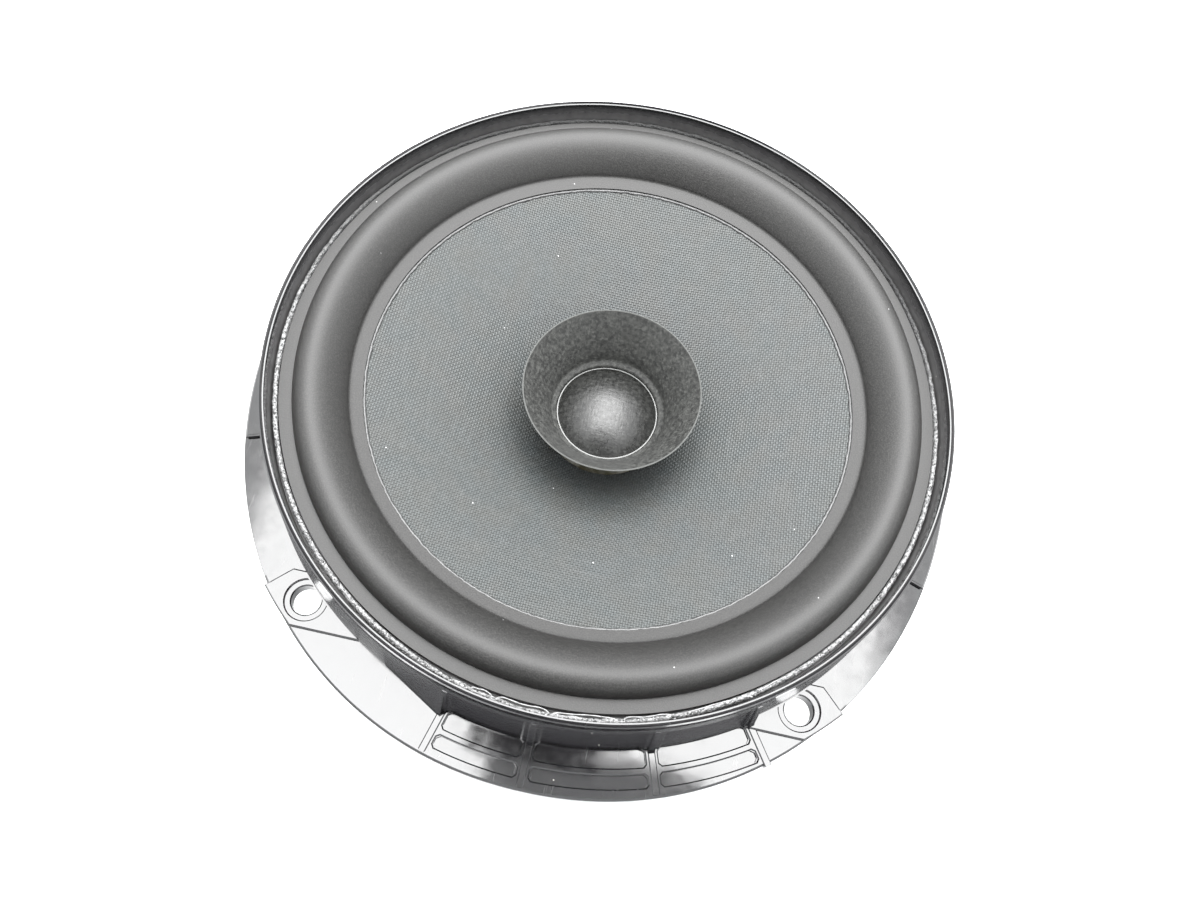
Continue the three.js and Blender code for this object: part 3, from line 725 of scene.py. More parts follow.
def ground_ferrite():
    finish = Finish("ground_ferrite", metallic=0.2)
    tree = finish.tree
    grain = finish.noise(0.5, 5.0)
    pits = finish.group(DUST, Cell=0.0022, Amount=0.35, Size=0.16)["Mask"]
    base = mix_colours(tree, grain, colour(0.03), colour(0.055, (1, 1, 1.04)))
    finish.feed("Base Color", mix_colours(tree, pits, base, colour(0.015)))
    finish.feed("Roughness", map_range(tree, grain, 0.3, 0.7, 0.55, 0.75))
    finish.bump(grain, 0.04)
    finish.bump(pits, -0.1)
    return finish.material


def matt_moulding():
    finish = Finish("matt_moulding", roughness=0.5)
    tree = finish.tree
    grain = finish.noise(0.3, 3.0)
    finish.feed("Base Color", mix_colours(tree, grain, colour(0.012), colour(0.022)))
    finish.feed("Roughness", map_range(tree, grain, 0.3, 0.7, 0.42, 0.58))
    finish.bump(grain, 0.02)
    return finish.material


def amber_film():
    return cloudy("amber_film", 0.3, 5, colour(0.3, (1, 0.5, 0.12)), colour(0.4, (1, 0.55, 0.15))).material


def enamelled_copper():
    """Fine turns of wire, one above another."""
    finish = Finish("enamelled_copper", roughness=0.25, metallic=1.0)
    tree = finish.tree
    turns = math_node(tree, "SINE", product(tree, finish.height(), 2 * math.pi / (WIRE_PITCH * MM)))
    crowns = map_range(tree, turns, -1, 0.2, 0, 1)
    dark, bright = colour(0.15, (1, 0.4, 0.2)), colour(0.7, (1, 0.42, 0.22))
    finish.feed("Base Color", mix_colours(tree, crowns, dark, bright))
    finish.bump(turns, 0.08)
    return finish.material


def tinned_brass():
    finish = Finish("tinned_brass", metallic=1.0)
    tree = finish.tree
    rubs = finish.noise(0.4, 4.0, (1, 0.1, 1))
    worn = map_range(tree, rubs, 0.5, 0.75, 0, 1)
    finish.feed("Base Color", mix_colours(tree, worn, colour(0.6), colour(0.62, (1, 0.85, 0.55))))
    finish.feed("Roughness", map_range(tree, rubs, 0.3, 0.7, 0.25, 0.45))
    return finish.material


def copper_braid():
    finish = Finish("copper_braid", roughness=0.4, metallic=0.9)
    height = finish.group(WEAVE, Pitch=0.00035)["Height"]
    dark, bright = colour(0.08, (1, 0.7, 0.5)), colour(0.55, (1, 0.75, 0.55))
    finish.feed("Base Color", mix_colours(finish.tree, height, dark, bright))
    finish.bump(height, 0.08)
    return finish.material


# ---------------------------------------------------------------- shared shape of the suspension

CONE = span("cone")
SURROUND = span("surround")
SKIN = 0.5
SURROUND_GAP = 0.12
SEAT_TO_TOP = 1.1
ROLL_INNER = 63.9
ROLL_OUTER = 76.1
ROLL_TO_BOX = 0.03
CONE_WALL = 0.6
# Exponents: a lean above 1 moves the roll's crest outwards, a softness above 1 eases the roll into its
# flanges, and a flare below 1 makes the cone steeper at its neck.
ROLL_LEAN = 1.4
ROLL_SOFTNESS = 1.05
FLARE = 0.87


def cone_height(radius):
    """Front face of the cone: steeper at the neck than at the edge."""
    neck_z = CONE.low + CONE_WALL
    share = (radius - CONE.inner) / (CONE.outer - CONE.inner)
    return neck_z + (CONE.high - neck_z) * max(share, 0) ** FLARE


# ---------------------------------------------------------------- basket

FLANGE_TOP = 48
FLANGE_BACK = 45
FLANGE_HALF_X, FLANGE_HALF_Y = 88.8, 96
FLANGE_SQUARENESS = 2.07
WALL_FOOT = 84.3
WALL_TOP = 83.3
RAMP_FOOT = 85.5
GUSSET_FOOT = 87.2
GUSSET_START = -124
WALL_RECESS_TOP = 61.5
LIP_INNER, LIP_MIDDLE, LIP_OUTER = 81.8, 82.5, 83.1
GROOVE_FLOOR = 57.6
SEAT_Z = 60.4
HOLE_X, HOLE_Y = 57.8, 65.7
HOLE_RADIUS = 3.4
HEAD_SEAT_RADIUS = 4.8
HEAD_SEAT_DEPTH = 0.5
PAD_HEIGHT = 0.8
PAD_HALF_WIDTH = 6.5
RIB_ANGLES = (-104.3, -90.5, -72.3, -56.5)
RIB_WIDTH = 1.7
RIB_HEIGHT = 0.3
POCKET_ROWS = ((85.0, 89), (90.6, 93.4))
POCKET_DEPTH = 1.0
POCKET_MARGIN = 1.5
POCKET_FLARE = 0.35
EDGE = 0.3
STEP_ANGLE = 19.5
STEP_REACH = 98
BEAD_WIDTH = 1.0
PAD_TIP, PAD_ROOT, PAD_CHAMFER = 93.7, 83.2, 5.2
RIB_EDGE = 0.25
LEDGE_INNER = 38.6
WINDOW_INNER, WINDOW_OUTER = 49, 72
SPOKE_HALF_WIDTH = 5
CONNECTOR_SPOKE_HALF_WIDTH = 14
RIVET_CIRCLE = 30
BLADE_X = 5
BLADE_SLOT_HALF_WIDTH = 0.7
BLADE_SLOT_Y = (48.2, 53.8)
SPOKE_ANGLES = (30, 90, 150, 210, 270, 330)
CONNECTOR_SPOKE = 90
CORNERS = ((1, 1), (-1, 1), (-1, -1), (1, -1))
# Where the glue residue and the duller wall begin and end on the moulding. Each pair is one fade.
RESIDUE_OUTSIDE = (81.6, 81.8)
RESIDUE_BOTTOM, RESIDUE_TOP = (57, 57.5), (65, 65.4)
DULL_WALL_INSIDE = (WALL_TOP - 0.2, WALL_TOP)
DULL_WALL_BOTTOM, DULL_WALL_TOP = (49, 49.6), (64, 64.8)


def flange_outline(steps=288):
    power = 2 / FLANGE_SQUARENESS
    points = []
    for i in range(steps):
        angle = 2 * math.pi * i / steps
        c, s = math.cos(angle), math.sin(angle)
        x = FLANGE_HALF_X * math.copysign(abs(c) ** power, c)
        y = FLANGE_HALF_Y * math.copysign(abs(s) ** power, s)
        points.append((x, y))
    return points


def basket_outline():
    """Half section of the turned part of the moulding, from the floor's bore, round the outside."""
    return [
        (20, 25.6), (46.5, 25.6), (74.5, 35.6), (78.6, 40), (80, FLANGE_BACK),
        (110, FLANGE_BACK), (110, FLANGE_TOP), (WALL_FOOT, FLANGE_TOP),
        (LIP_OUTER + 0.08, RIM_TOP - 0.6), (LIP_OUTER, RIM_TOP - 0.05), (LIP_OUTER - 0.3, RIM_TOP),
        (LIP_MIDDLE, RIM_TOP - 0.35), (LIP_INNER + 0.4, RIM_TOP), (LIP_INNER + 0.1, RIM_TOP - 0.05),
        (LIP_INNER, RIM_TOP - 0.6),
        (81.4, GROOVE_FLOOR), (79.3, GROOVE_FLOOR), (79.3, SEAT_Z),
        (75.9, SEAT_Z), (75.9, SEAT_Z - 2.4), (80.2, 55), (81, FLANGE_TOP - 1), (76, 41.2),
        (73.2, 38.4), (46.6, 29.2), (44.2, 32.1), (LEDGE_INNER, 32.1), (LEDGE_INNER, 28.6), (20, 28.6),
    ]


def flange_trim():
    """The rounded-off rectangle that the flange is trimmed to, with both rims chamfered."""
    plate = prism(flange_outline(), FLANGE_BACK, FLANGE_TOP, 0.5, 0.4)
    inside = [(x * 0.98, y * 0.98) for x, y in flange_outline()]
    return combine(plate, [prism(inside, 0, 90)], "UNION")


def pad_outline(sign_x, sign_y):
    """A raised pad round one fixing hole; its outer corner nearer the X axis is cut off."""
    low, high = HOLE_Y - PAD_HALF_WIDTH, HOLE_Y + PAD_HALF_WIDTH
    tip_start = math.degrees(math.asin((low + PAD_CHAMFER) / PAD_TIP))
    tip_end = math.degrees(math.asin(high / PAD_TIP))
    root_start = math.degrees(math.asin(high / PAD_ROOT))
    root_end = math.degrees(math.asin(low / PAD_ROOT))
    points = arc(PAD_TIP, tip_start, tip_end, 8) + arc(PAD_ROOT, root_start, root_end, 8)
    points.append((PAD_TIP * math.cos(math.radians(tip_start)) - PAD_CHAMFER, low))
    return [(x * sign_x, y * sign_y) for x, y in points]


def rib_outline():
    root, tip, top = WALL_TOP - 1.5, FLANGE_HALF_Y - 0.8, FLANGE_TOP + RIB_HEIGHT
    return [
        (root, FLANGE_BACK + 1), (tip, FLANGE_BACK + 1), (tip, top), (RAMP_FOOT + 0.8, top),
        (RAMP_FOOT + RIB_HEIGHT, top + 0.8), (WALL_TOP + RIB_HEIGHT, WALL_RECESS_TOP),
        (root, WALL_RECESS_TOP),
    ]


def polar(radius, degrees):
    return radius * math.cos(math.radians(degrees)), radius * math.sin(math.radians(degrees))


def clipped_sector(inner, outer, start, end, corner=0.8):
    """A ring sector with its four corners cut off, as (x, y) points."""
    shape = []
    for radius, side, first, last in ((outer, -corner, start, end), (inner, corner, end, start)):
        turn = math.copysign(math.degrees(corner / radius), last - first)
        shape.append(polar(radius + side, first))
        shape += arc(radius, first + turn, last - turn, 16)
        shape.append(polar(radius + side, last))
    return shape


def pocket_cutters():
    """Two rows of shallow pockets between the ribs; the inner row runs up the wall as a recess."""
    cutters = []
    for turn in (0, 180):
        for start, end in zip(RIB_ANGLES, RIB_ANGLES[1:]):
            for inner, outer in POCKET_ROWS:
                cutters += pocket_cutter(inner, outer, start + turn, end + turn)
    return cutters


def pocket_cutter(inner, outer, start, end):
    """One pocket between two ribs: the deep part, and a wider mouth that leaves a sloping edge."""
    margin = math.degrees(POCKET_MARGIN / inner)
    flare = math.degrees(POCKET_FLARE / inner)
    first, last = start + margin, end - margin
    on_wall = inner < RAMP_FOOT
    top = WALL_RECESS_TOP - 0.8 if on_wall else FLANGE_TOP + 1
    deep = prism(clipped_sector(inner, outer, first, last), FLANGE_TOP - POCKET_DEPTH, top)
    mouth_inner = inner if on_wall else inner - POCKET_FLARE
    mouth = clipped_sector(mouth_inner, outer + POCKET_FLARE, first - flare, last + flare)
    wide = prism(mouth, FLANGE_TOP - POCKET_FLARE, FLANGE_TOP + 0.4, 0, POCKET_FLARE * 0.9)
    if on_wall:
        lean_with_wall(deep, inner)
        lean_with_wall(wide, inner)
    return [deep, wide]


def lean_with_wall(bm, inner):
    """Leans the inner side of a wall recess so that it follows the wall's draft."""
    draft = (RAMP_FOOT - WALL_TOP) / (WALL_RECESS_TOP - FLANGE_TOP)
    for vertex in bm.verts:
        radius = math.hypot(vertex.co.x, vertex.co.y)
        if radius < inner + 1:
            shrink = 1 - draft * (vertex.co.z - FLANGE_TOP) / radius
            vertex.co.x *= shrink
            vertex.co.y *= shrink


def wall_ramp():
    """Between the ribs the wall leans out to a wider foot."""
    outline = [
        (WALL_TOP - 1, FLANGE_BACK + 1), (RAMP_FOOT, FLANGE_BACK + 1), (RAMP_FOOT, FLANGE_TOP),
        (WALL_TOP + 0.05, WALL_RECESS_TOP), (WALL_TOP - 1, WALL_RECESS_TOP),
    ]
    sectors = []
    for turn in (0, 180):
        shape = [(0, 0)] + arc(100, RIB_ANGLES[0] + turn, RIB_ANGLES[-1] + turn, 12)
        sectors.append(prism(shape, FLANGE_BACK, RIM_TOP))
    return combine(spun(outline, 256), [merged(sectors)], "INTERSECT")


def wall_gusset(turn):
    """A flat-faced web that grows out of the wall towards the first rib."""
    start, end = GUSSET_START + turn, RIB_ANGLES[0] + turn
    bm = bmesh.new()
    corners = [(WALL_TOP - 1, start), (WALL_FOOT, start), (GUSSET_FOOT, end), (WALL_TOP - 1, end)]
    for radius, angle in corners:
        for z in (FLANGE_BACK + 1, FLANGE_TOP):
            bm.verts.new((*polar(radius, angle), z))
    for radius in (WALL_TOP - 1, WALL_TOP + 0.1):
        bm.verts.new((*polar(radius, end), WALL_RECESS_TOP))
    bmesh.ops.convex_hull(bm, input=bm.verts)
    bmesh.ops.recalc_face_normals(bm, faces=bm.faces)
    return bm


def window_cutter(index):
    """The gap between two spokes, whose sides run parallel to the spokes."""
    def half_width(number):
        on_connector = SPOKE_ANGLES[number % len(SPOKE_ANGLES)] == CONNECTOR_SPOKE
        return CONNECTOR_SPOKE_HALF_WIDTH if on_connector else SPOKE_HALF_WIDTH

    start, end = SPOKE_ANGLES[index], SPOKE_ANGLES[index] + 60
    sides = {}
    for radius in (WINDOW_INNER, WINDOW_OUTER):
        first = start + math.degrees(math.asin(half_width(index) / radius))
        last = end - math.degrees(math.asin(half_width(index + 1) / radius))
        sides[radius] = (first, last)
    shape = arc(WINDOW_OUTER, *sides[WINDOW_OUTER], 24)
    shape += arc(WINDOW_INNER, *reversed(sides[WINDOW_INNER]), 24)
    return prism(shape, 20, FLANGE_BACK)


def step_cutters():
    """The flange is a touch lower between each pad and a radial step nearer the long side."""
    cutters = []
    end = math.degrees(math.asin(HOLE_Y / STEP_REACH))
    shape = arc(STEP_REACH, STEP_ANGLE, end, 8) + arc(WALL_FOOT, end, STEP_ANGLE, 8)
    for sign_x, sign_y in CORNERS:
        mirrored = [(x * sign_x, y * sign_y) for x, y in shape]
        cutters.append(prism(mirrored, FLANGE_TOP - 0.4, FLANGE_TOP + 0.3))
    return cutters


def fixing_holes():
    """A hole in each pad, in a shallow round seat for the screw's head; both stop short of the wall."""
    top = FLANGE_TOP + PAD_HEIGHT
    floor = top - HEAD_SEAT_DEPTH
    hole = [
        (0, 40), (HOLE_RADIUS, 40), (HOLE_RADIUS, floor - EDGE),
        (HOLE_RADIUS + EDGE, floor + 0.01), (0, floor + 0.01),
    ]
    seat = [
        (0, floor), (HEAD_SEAT_RADIUS, floor), (HEAD_SEAT_RADIUS, top - EDGE),
        (HEAD_SEAT_RADIUS + EDGE, top + 0.01), (0, top + 0.01),
    ]
    keep_clear = WALL_FOOT + EDGE
    cutters = []
    for outline in (hole, seat):
        discs = merged([turned_at(x * HOLE_X, y * HOLE_Y, outline) for x, y in CORNERS])
        wall = spun([(0, 0), (keep_clear, 0), (keep_clear, 80), (0, 80)], 256)
        cutters.append(combine(discs, [wall], "DIFFERENCE"))
    return cutters


def flange_ribs():
    """The ribs that run up the wall on two sides, and the low bead along each step of the flange."""
    angles = [angle + turn for turn in (0, 180) for angle in RIB_ANGLES]
    ribs = [upright(rib_outline(), RIB_WIDTH, angle, RIB_EDGE) for angle in angles]
    root, tip, top = WALL_TOP - 1, FLANGE_HALF_X + 0.6, FLANGE_TOP + 0.3
    bead = [(root, FLANGE_BACK + 1), (tip, FLANGE_BACK + 1), (tip, top), (root, top)]
    bead_angles = (STEP_ANGLE, 180 - STEP_ANGLE, 180 + STEP_ANGLE, -STEP_ANGLE)
    return ribs + [upright(bead, BEAD_WIDTH, angle, EDGE) for angle in bead_angles]


def spoke_ribs():
    """A rib under each spoke, but for the one that carries the connector."""
    outline = [(46.6, 27), (46.6, 23.4), (50, 23.4), (79.2, 37.5), (79.2, 43.5), (75.5, 38)]
    angles = [angle for angle in SPOKE_ANGLES if angle != CONNECTOR_SPOKE]
    return [upright(outline, RIB_WIDTH, angle, RIB_EDGE) for angle in angles]


def connector_seat():
    """Fills the space between the top of the connector's housing and the spoke above it."""
    low, high = extent("connector_housing")
    outline = [(low.y, high.z + 0.3), (high.y, high.z + 0.3), (high.y, 32), (low.y, 27.5)]
    return upright(outline, 2 * high.x, CONNECTOR_SPOKE, 0.3)


def rivet_and_blade_holes():
    rivet_hole = [(0, 20), (2, 20), (2, 30), (0, 30)]
    holes = [turned_at(*polar(RIVET_CIRCLE, 45 + 90 * i), rivet_hole, 24) for i in range(4)]
    for x in (-BLADE_X, BLADE_X):
        holes.append(block((x - BLADE_SLOT_HALF_WIDTH, x + BLADE_SLOT_HALF_WIDTH), BLADE_SLOT_Y, (20, 38)))
    return holes


def make_basket():
    body = combine(spun(basket_outline(), 256), [flange_trim()], "INTERSECT")
    body = combine(body, [wall_ramp(), wall_gusset(0), wall_gusset(180)], "UNION")
    windows = [window_cutter(index) for index in range(len(SPOKE_ANGLES))]
    body = combine(body, windows + pocket_cutters() + step_cutters(), "DIFFERENCE")
    pad_top = FLANGE_TOP + PAD_HEIGHT
    pads = [prism(pad_outline(*signs), FLANGE_BACK, pad_top, 0.35, EDGE) for signs in CORNERS]
    body = combine(body, pads + flange_ribs() + spoke_ribs() + [connector_seat()], "UNION")
    body = combine(body, fixing_holes() + rivet_and_blade_holes(), "DIFFERENCE")
    flat = math.radians(0.05)
    bmesh.ops.dissolve_limit(body, angle_limit=flat, verts=body.verts, edges=body.edges)
    basket = finish_mesh("basket_moulding", body, glossy_black_moulding(), smooth_angle=28)
    place(basket, FRAME, "basket_plastic", "basket")


# ---------------------------------------------------------------- surround, adhesive, spider

# The bead is torn on the near side, this many degrees either way; along this stretch of Y its colour darkens
# with painted shade and its finish turns dull.
TORN_SPREAD = 38
ADHESIVE_SHADE_AND_DULL_SPAN = (-5, 45)
# Glue strings: start and end in degrees about the axis, and how far the ends swing outwards.
STRINGS = (
    (-101, -97.5, 0.7), (-97.2, -88.5, 1.0), (-88.3, -78, 0.9), (-77.6, -69.5, 1.0),
    (-69, -57, 0.8), (-56.5, -49, 0.7),
)
STRING_RADIUS = 80.05
STRING_THICKNESS = 0.26
STRING_POINTS = 24


def make_surround():
    """Flat outer flange, half roll that leans outwards, and inner flange glued along the cone's edge."""
    edge = SURROUND.inner
    lift = SURROUND_GAP + SKIN / 2
    foot = ROLL_INNER - 0.5
    radii = [edge + (foot - edge) * i / 4 for i in range(5)]
    line = [(radius, cone_height(radius) + lift) for radius in radii]
    inner_z = cone_height(CONE.outer) + lift
    outer_z = SEAT_Z + SEAT_TO_TOP - SKIN / 2
    crest = 0.5 ** (1 / ROLL_LEAN)
    rise = SURROUND.high - (inner_z + (outer_z - inner_z) * crest) - SKIN / 2 - ROLL_TO_BOX
    steps = 40
    for i in range(steps + 1):
        angle = math.pi * i / steps
        across = ((1 - math.cos(angle)) / 2) ** (1 / ROLL_LEAN)
        radius = ROLL_INNER + (ROLL_OUTER - ROLL_INNER) * across
        height = rise * max(math.sin(angle), 0) ** ROLL_SOFTNESS
        line.append((radius, inner_z + (outer_z - inner_z) * across + height))
    line += [(ROLL_OUTER + 0.6, outer_z), (SURROUND.outer, outer_z)]
    surround = finish_mesh("surround_roll", spun(ribbon(line, SKIN)), satin_rubber(), smooth_angle=50)
    flex(surround, ROLL_INNER, ROLL_OUTER)
    place(surround, FRAME, "surround_rubber", "surround")


def near_side(x, y):
    """1 in the middle of the near side, falling to 0 where the torn stretch ends."""
    angle = abs(math.degrees(math.atan2(x, -y)))
    share = max(0, 1 - angle / TORN_SPREAD)
    return share * share * (3 - 2 * share)


def make_adhesive():
    """Granular bead squeezed out of the groove; on the near side it is pulled outwards and torn."""
    bead = span("surround_adhesive")
    inner = bead.inner + 0.05
    outline = [
        (inner, bead.low), (bead.outer, bead.low), (bead.outer + 0.1, bead.high - 1.0),
        (inner + 0.85, bead.high - 0.2), (inner + 0.35, bead.high), (inner, bead.high - 0.3),
    ]
    bm = spun(outline, 1440)
    for vertex in bm.verts:
        x, y, z = vertex.co
        pull = near_side(x, y)
        if z > bead.low + 0.5:
            vertex.co.z += noise.noise(vertex.co * 1.3) * 0.25 + noise.noise(vertex.co * 0.35) * 0.25
            torn = max(0, noise.noise(Vector((x, y, 0)) * 0.22) + 0.1) * 2.2
            vertex.co.z -= pull * min(torn, 1.6)
        outward = Vector((x, y, 0)).normalized()
        if math.hypot(x, y) > inner + 0.5:
            vertex.co += outward * (0.7 * pull + noise.noise(vertex.co * 0.9) * 0.12)
        else:
            scallop = 0.35 * noise.noise(Vector((x, y, 0)) * 0.35)
            vertex.co += outward * (0.75 + scallop) * pull
    adhesive = finish_mesh("rim_adhesive_bead", bm, granular_adhesive(), smooth_angle=180)
    place(adhesive, FRAME, "rim_adhesive", "surround_adhesive")


def make_glue_strings():
    """Glossy strings of the same glue, drawn out along the torn near side of the bead."""
    top = span("surround_adhesive").high
    strands = []
    for start, end, swing in STRINGS:
        points = []
        for i in range(STRING_POINTS):
            share = i / (STRING_POINTS - 1)
            from_middle = 2 * share - 1
            radius = STRING_RADIUS + swing * from_middle ** 8 + 0.12 * math.sin(9 * share + start)
            x, y = polar(radius, start + (end - start) * share)
            z = top - 0.1 - 0.5 * from_middle ** 6
            points.append((x, y, z, 1 + 1.1 * from_middle ** 10 + 0.25 * math.sin(31 * share + start)))
        strands.append(wire(points, STRING_THICKNESS, "POLY", 2))
    strings = finish_mesh("glue_strings", merged(strands), glue_skin(), smooth_angle=80)
    place(strings, FRAME, "rim_adhesive")


def make_cone_edge_glue():
    """Thin ragged line of glue where the surround ends on the cone."""
    radius = SURROUND.inner
    z = cone_height(radius)
    outline = [
        (radius - 0.75, z - 0.25), (radius - 0.1, z - 0.1), (radius - 0.1, z + 0.25),
        (radius - 0.5, z + 0.12),
    ]
    bm = spun(outline, 720)
    for vertex in bm.verts:
        outward = Vector((vertex.co.x, vertex.co.y, 0)).normalized()
        vertex.co += outward * noise.noise(vertex.co * 0.9) * 0.22
    glue = finish_mesh("cone_edge_glue", bm, edge_glue(), smooth_angle=180)
    place(glue, MOVING, "rim_adhesive")


def make_spider():
    """Corrugated disc between the voice coil's former and the ledge of the basket."""
    spider = span("spider")
    middle = (spider.low + spider.high) / 2
    wave, height, steps_per_wave = 7.0, 0.9, 14
    first_wave = spider.inner + 1.2
    line = [(spider.inner, middle + 1.0), (spider.inner + 0.5, middle + 0.4)]
    radius = first_wave
    while radius < LEDGE_INNER:
        line.append((radius, middle + height * math.sin(2 * math.pi * (radius - first_wave) / wave)))
        radius += wave / steps_per_wave
    line += [(LEDGE_INNER + 0.4, middle - 0.3), (spider.outer, middle - 0.3)]
    cloth = finish_mesh("spider_cloth_disc", spun(ribbon(line, 0.5)), resin_cloth(), smooth_angle=60)
    flex(cloth, 15, LEDGE_INNER)
    place(cloth, FRAME, "spider_cloth", "spider")


# ---------------------------------------------------------------- moving assembly

WIRE_PITCH = 0.28


def make_cone():
    steps = 40
    radii = [CONE.inner + (CONE.outer - CONE.inner) * (i / steps) ** 1.5 for i in range(steps + 1)]
    front = [(radius, cone_height(radius)) for radius in radii]
    back = [(radius, cone_height(radius) - CONE_WALL) for radius in reversed(radii)]
    cone = finish_mesh("woven_cone", spun(back + front), woven_cone_cloth())
    place(cone, MOVING, "cone_weave", "cone")


def make_whizzer():
    """Small paper cone: a straight neck, a shoulder, and a flare that swells a little."""
    whizzer = span("whizzer_cone")
    wall = 0.3
    rim_radius, rim_z = whizzer.outer - wall / 2, whizzer.high - 0.1
    bend_radius, bend_z = 15.4, 47.2
    line = [
        (13.38, whizzer.low), (13.38, 43.9), (13.46, 44.15), (13.7, 44.35), (14.5, 44.8),
        (14.8, 45.15), (15, 45.9), (bend_radius, bend_z),
    ]
    steps = 12
    for i in range(1, steps + 1):
        share = i / steps
        swell = 0.35 * math.sin(math.pi * share)
        radius = bend_radius + (rim_radius - bend_radius) * share - swell * 0.6
        line.append((radius, bend_z + (rim_z - bend_z) * share + swell * 0.4))
    paper = fibre_paper("whizzer_paper", 0.012, 0.032, (rim_radius - 1, whizzer.high - 0.14), 0.6, 0.08)
    piece = finish_mesh("whizzer_paper_cone", spun(ribbon(line, wall)), paper)
    place(piece, MOVING, "whizzer_paper", "whizzer_cone")


def make_dust_cap():
    """A dome whose edge turns up, so that its pale cut edge shows as a thin ring."""
    dome_radius, lip_radius, ring_z = 12.55, 12.94, 43.6
    apex = span("dust_cap").high - 0.2
    rise = apex - 43.15
    sphere = (dome_radius ** 2 + rise ** 2) / (2 * rise)
    half_angle = math.asin(dome_radius / sphere)
    steps = 28
    angles = [half_angle * i / steps for i in range(steps + 1)]
    line = [(sphere * math.sin(angle), apex - sphere * (1 - math.cos(angle))) for angle in angles]
    line += [(12.78, 43.06), (lip_radius - 0.03, 43.2), (lip_radius, ring_z)]
    outline = ribbon(line, 0.28)
    outline[0] = (0, outline[0][1])
    outline[-1] = (0, outline[-1][1])
    paper = fibre_paper("cap_paper", 0.006, 0.014, (lip_radius - 0.2, ring_z - 0.1), 0.36, 0.09)
    piece = finish_mesh("dust_cap_dome", spun(outline), paper)
    place(piece, MOVING, "cap_paper", "dust_cap")


def make_neck_glue():
    """Uneven fillet of glue at the foot of the whizzer's neck."""
    glue = span("neck_adhesive")
    outline = [
        (glue.inner, 38.5), (13.6, 38.6), (glue.outer, 39.85), (15.4, 40.3), (14.6, 40.75),
        (glue.inner, glue.high),
    ]
    bm = spun(outline, 240)
    for vertex in bm.verts:
        if vertex.co.z > 39.5:
            vertex.co.z += noise.noise(vertex.co * 0.5) * 0.3
    piece = finish_mesh("neck_glue_fillet", bm, amber_glue(), smooth_angle=80)
    place(piece, MOVING, "neck_adhesive", "neck_adhesive")


def make_tube(name, node, body, slot, material, edge=0.08):
    """A plain tube of the size of its CAD node, with softened edges."""
    tube = span(node)
    inner, outer, low, high = tube.inner, tube.outer, tube.low, tube.high
    piece = finish_mesh(name, spun([(inner, low), (outer, low), (outer, high), (inner, high)]), material)
    rounded(piece, edge)
    place(piece, body, slot, node)


# ---------------------------------------------------------------- motor


def make_yoke(steel):
    """Back plate and pole in one forging."""
    yoke = span("t_yoke")
    pole, plate = 12, 5
    outline = [(0, 0), (yoke.outer, 0), (yoke.outer, plate), (pole, plate), (pole, yoke.high), (0, yoke.high)]
    piece = finish_mesh("yoke_forging", spun(outline), steel)
    rounded(piece, 0.7)
    place(piece, FRAME, "plated_steel", "t_yoke")


def make_rivets():
    steel = plated_steel("rivet_steel", 0.5)
    shank, head_radius, head_height = 1.7, 3.2, 1.5
    for number in range(1, 5):
        node = f"frame_rivet_{number}"
        low, high = extent(node)
        middle = (low + high) / 2
        head = high.z - head_height
        outline = [
            (0, low.z), (shank, low.z), (shank, head), (head_radius, head), (head_radius, high.z - 0.6),
            (2.4, high.z - 0.1), (0, high.z),
        ]
        rivet = finish_mesh(f"rivet_{number}", turned_at(middle.x, middle.y, outline, 48), steel)
        place(rivet, FRAME, "rivet_steel", node)


def make_motor():
    steel = plated_steel("plated_steel", 0.42)
    make_tube("magnet_ring", "ferrite_magnet", FRAME, "ferrite", ground_ferrite(), 0.9)
    make_tube("front_plate", "top_plate", FRAME, "plated_steel", steel, 0.5)
    make_yoke(steel)
    make_rivets()


# ---------------------------------------------------------------- connector and leads


HOUSING_WALL = 1.6
SOCKET_DEPTH = 7
BLADE_GAP = 0.3
BLADE_SLOT_FLOOR = 16.7
TAB_TOP = 21.8
RISER_FRONT = 53.5
LEAD_THICKNESS = 1.2


def make_connector():
    """Housing with a socket, a keyway and a slot for each blade."""
    low, high = extent("connector_housing")
    shell = block((low.x, high.x), (low.y, high.y), (low.z, high.z))
    depth = (high.y - SOCKET_DEPTH, high.y + 1)
    socket = block(
        (low.x + HOUSING_WALL, high.x - HOUSING_WALL), depth, (low.z + HOUSING_WALL, high.z - HOUSING_WALL)
    )
    cuts = [socket, block((-2, 2), depth, (high.z - 2, high.z - 0.8))]
    for pole in ("plus", "minus"):
        blade_low, blade_high = extent(f"terminal_blade_{pole}")
        x_span = (blade_low.x - BLADE_GAP, blade_high.x + BLADE_GAP)
        back = blade_low.y - BLADE_GAP
        cuts.append(block(x_span, (back, high.y), (BLADE_SLOT_FLOOR, TAB_TOP + BLADE_GAP)))
        cuts.append(block(x_span, (back, BLADE_SLOT_Y[1]), (BLADE_SLOT_FLOOR, high.z + 1)))
    housing = finish_mesh("connector_shell", combine(shell, cuts, "DIFFERENCE"), matt_moulding())
    rounded(housing, 0.35)
    place(housing, FRAME, "connector_plastic", "connector_housing")


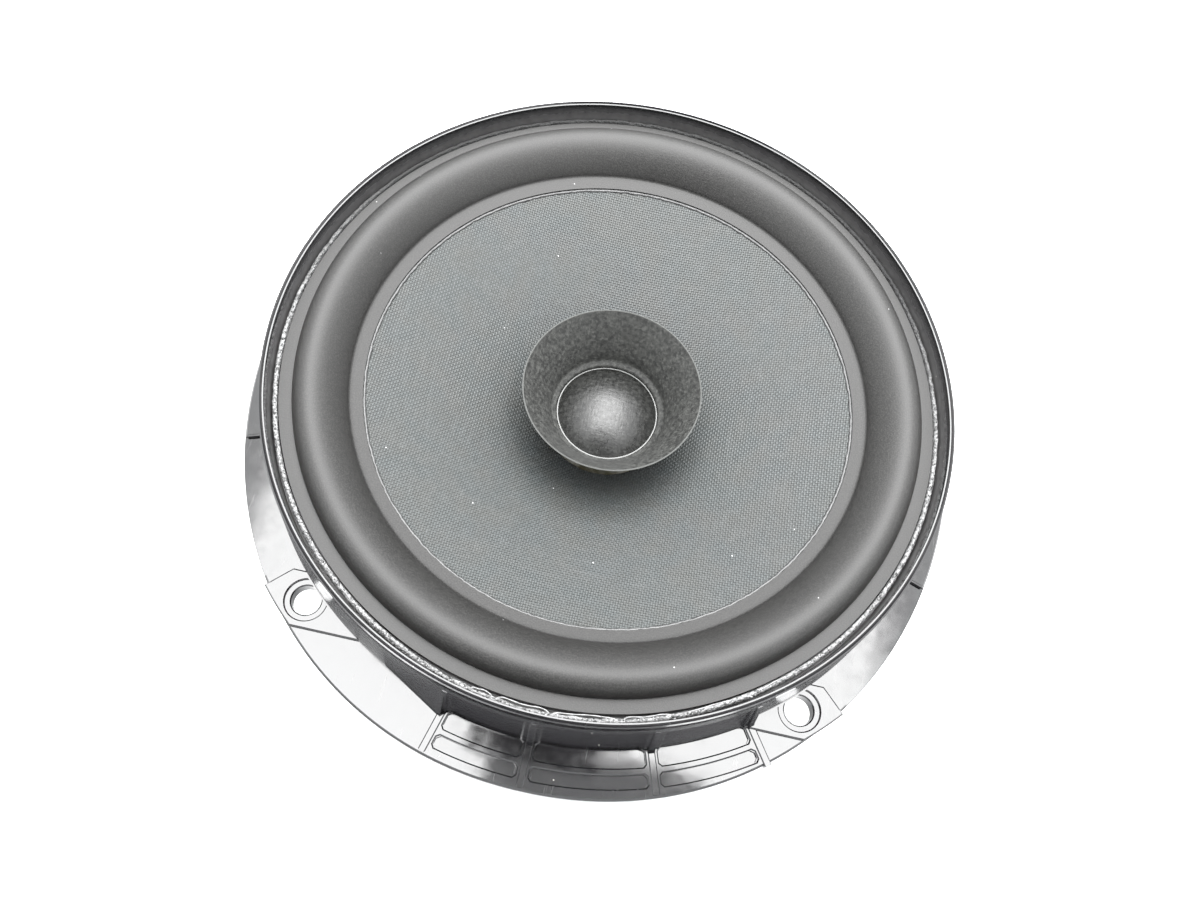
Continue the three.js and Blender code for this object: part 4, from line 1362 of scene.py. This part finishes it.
def make_blades():
    """Flat brass blades: a tab in the socket, and a riser to the lead."""
    brass = tinned_brass()
    for pole in ("plus", "minus"):
        low, high = extent(f"terminal_blade_{pole}")
        back, tip, base, top = low.y, high.y, low.z, high.z
        outline = [
            (back, base), (tip - 0.8, base), (tip, base + 0.9), (tip, TAB_TOP - 0.9), (tip - 0.8, TAB_TOP),
            (RISER_FRONT, TAB_TOP), (RISER_FRONT, top), (back, top),
        ]
        bm = upright(outline, high.x - low.x, CONNECTOR_SPOKE)
        bmesh.ops.translate(bm, verts=bm.verts, vec=((low.x + high.x) / 2, 0, 0))
        blade = finish_mesh(f"blade_{pole}", bm, brass)
        rounded(blade, 0.12)
        place(blade, FRAME, "blade_brass", f"terminal_blade_{pole}")


def make_leads():
    """Braided leads from the blades to the back of the cone, where a dab of glue holds each one."""
    braid = copper_braid()
    glue = amber_glue()
    route = (
        (BLADE_X, 53, 38.9), (BLADE_X, 49, 39.5), (5.6, 42, 38.3), (6.4, 33, 36.9), (7.2, 25.5, 37.8),
        (7.5, 23.7, 40.05),
    )
    for pole, side in (("plus", 1), ("minus", -1)):
        bm = wire([(side * x, y, z, 1) for x, y, z in route], LEAD_THICKNESS, "NURBS", 3)
        bmesh.ops.remove_doubles(bm, verts=bm.verts, dist=1e-3)
        lead = finish_mesh(f"lead_{pole}", bm, braid, smooth_angle=60)
        flex(lead, 24, 47)
        place(lead, FRAME, "lead_braid", f"tinsel_lead_{pole}")
        low, high = extent(f"lead_joint_{pole}")
        bm = bmesh.new()
        bmesh.ops.create_uvsphere(bm, u_segments=32, v_segments=16, radius=1)
        bmesh.ops.scale(bm, verts=bm.verts, vec=(high - low) / 2)
        bmesh.ops.translate(bm, verts=bm.verts, vec=(low + high) / 2)
        place(finish_mesh(f"joint_dab_{pole}", bm, glue), MOVING, "neck_adhesive", f"lead_joint_{pole}")


# ---------------------------------------------------------------- assembly

make_camera()
make_studio()
make_basket()
make_surround()
make_adhesive()
make_glue_strings()
make_cone_edge_glue()
make_spider()
make_cone()
make_whizzer()
make_dust_cap()
make_neck_glue()
make_tube("coil_former", "voice_coil_former", MOVING, "former_film", amber_film(), 0.05)
make_tube("coil_winding", "voice_coil_winding", MOVING, "coil_copper", enamelled_copper())
make_tube("flange_gasket", "mounting_gasket", FRAME, "gasket_foam", closed_cell_foam(), 0.3)
make_motor()
make_connector()
make_blades()
make_leads()
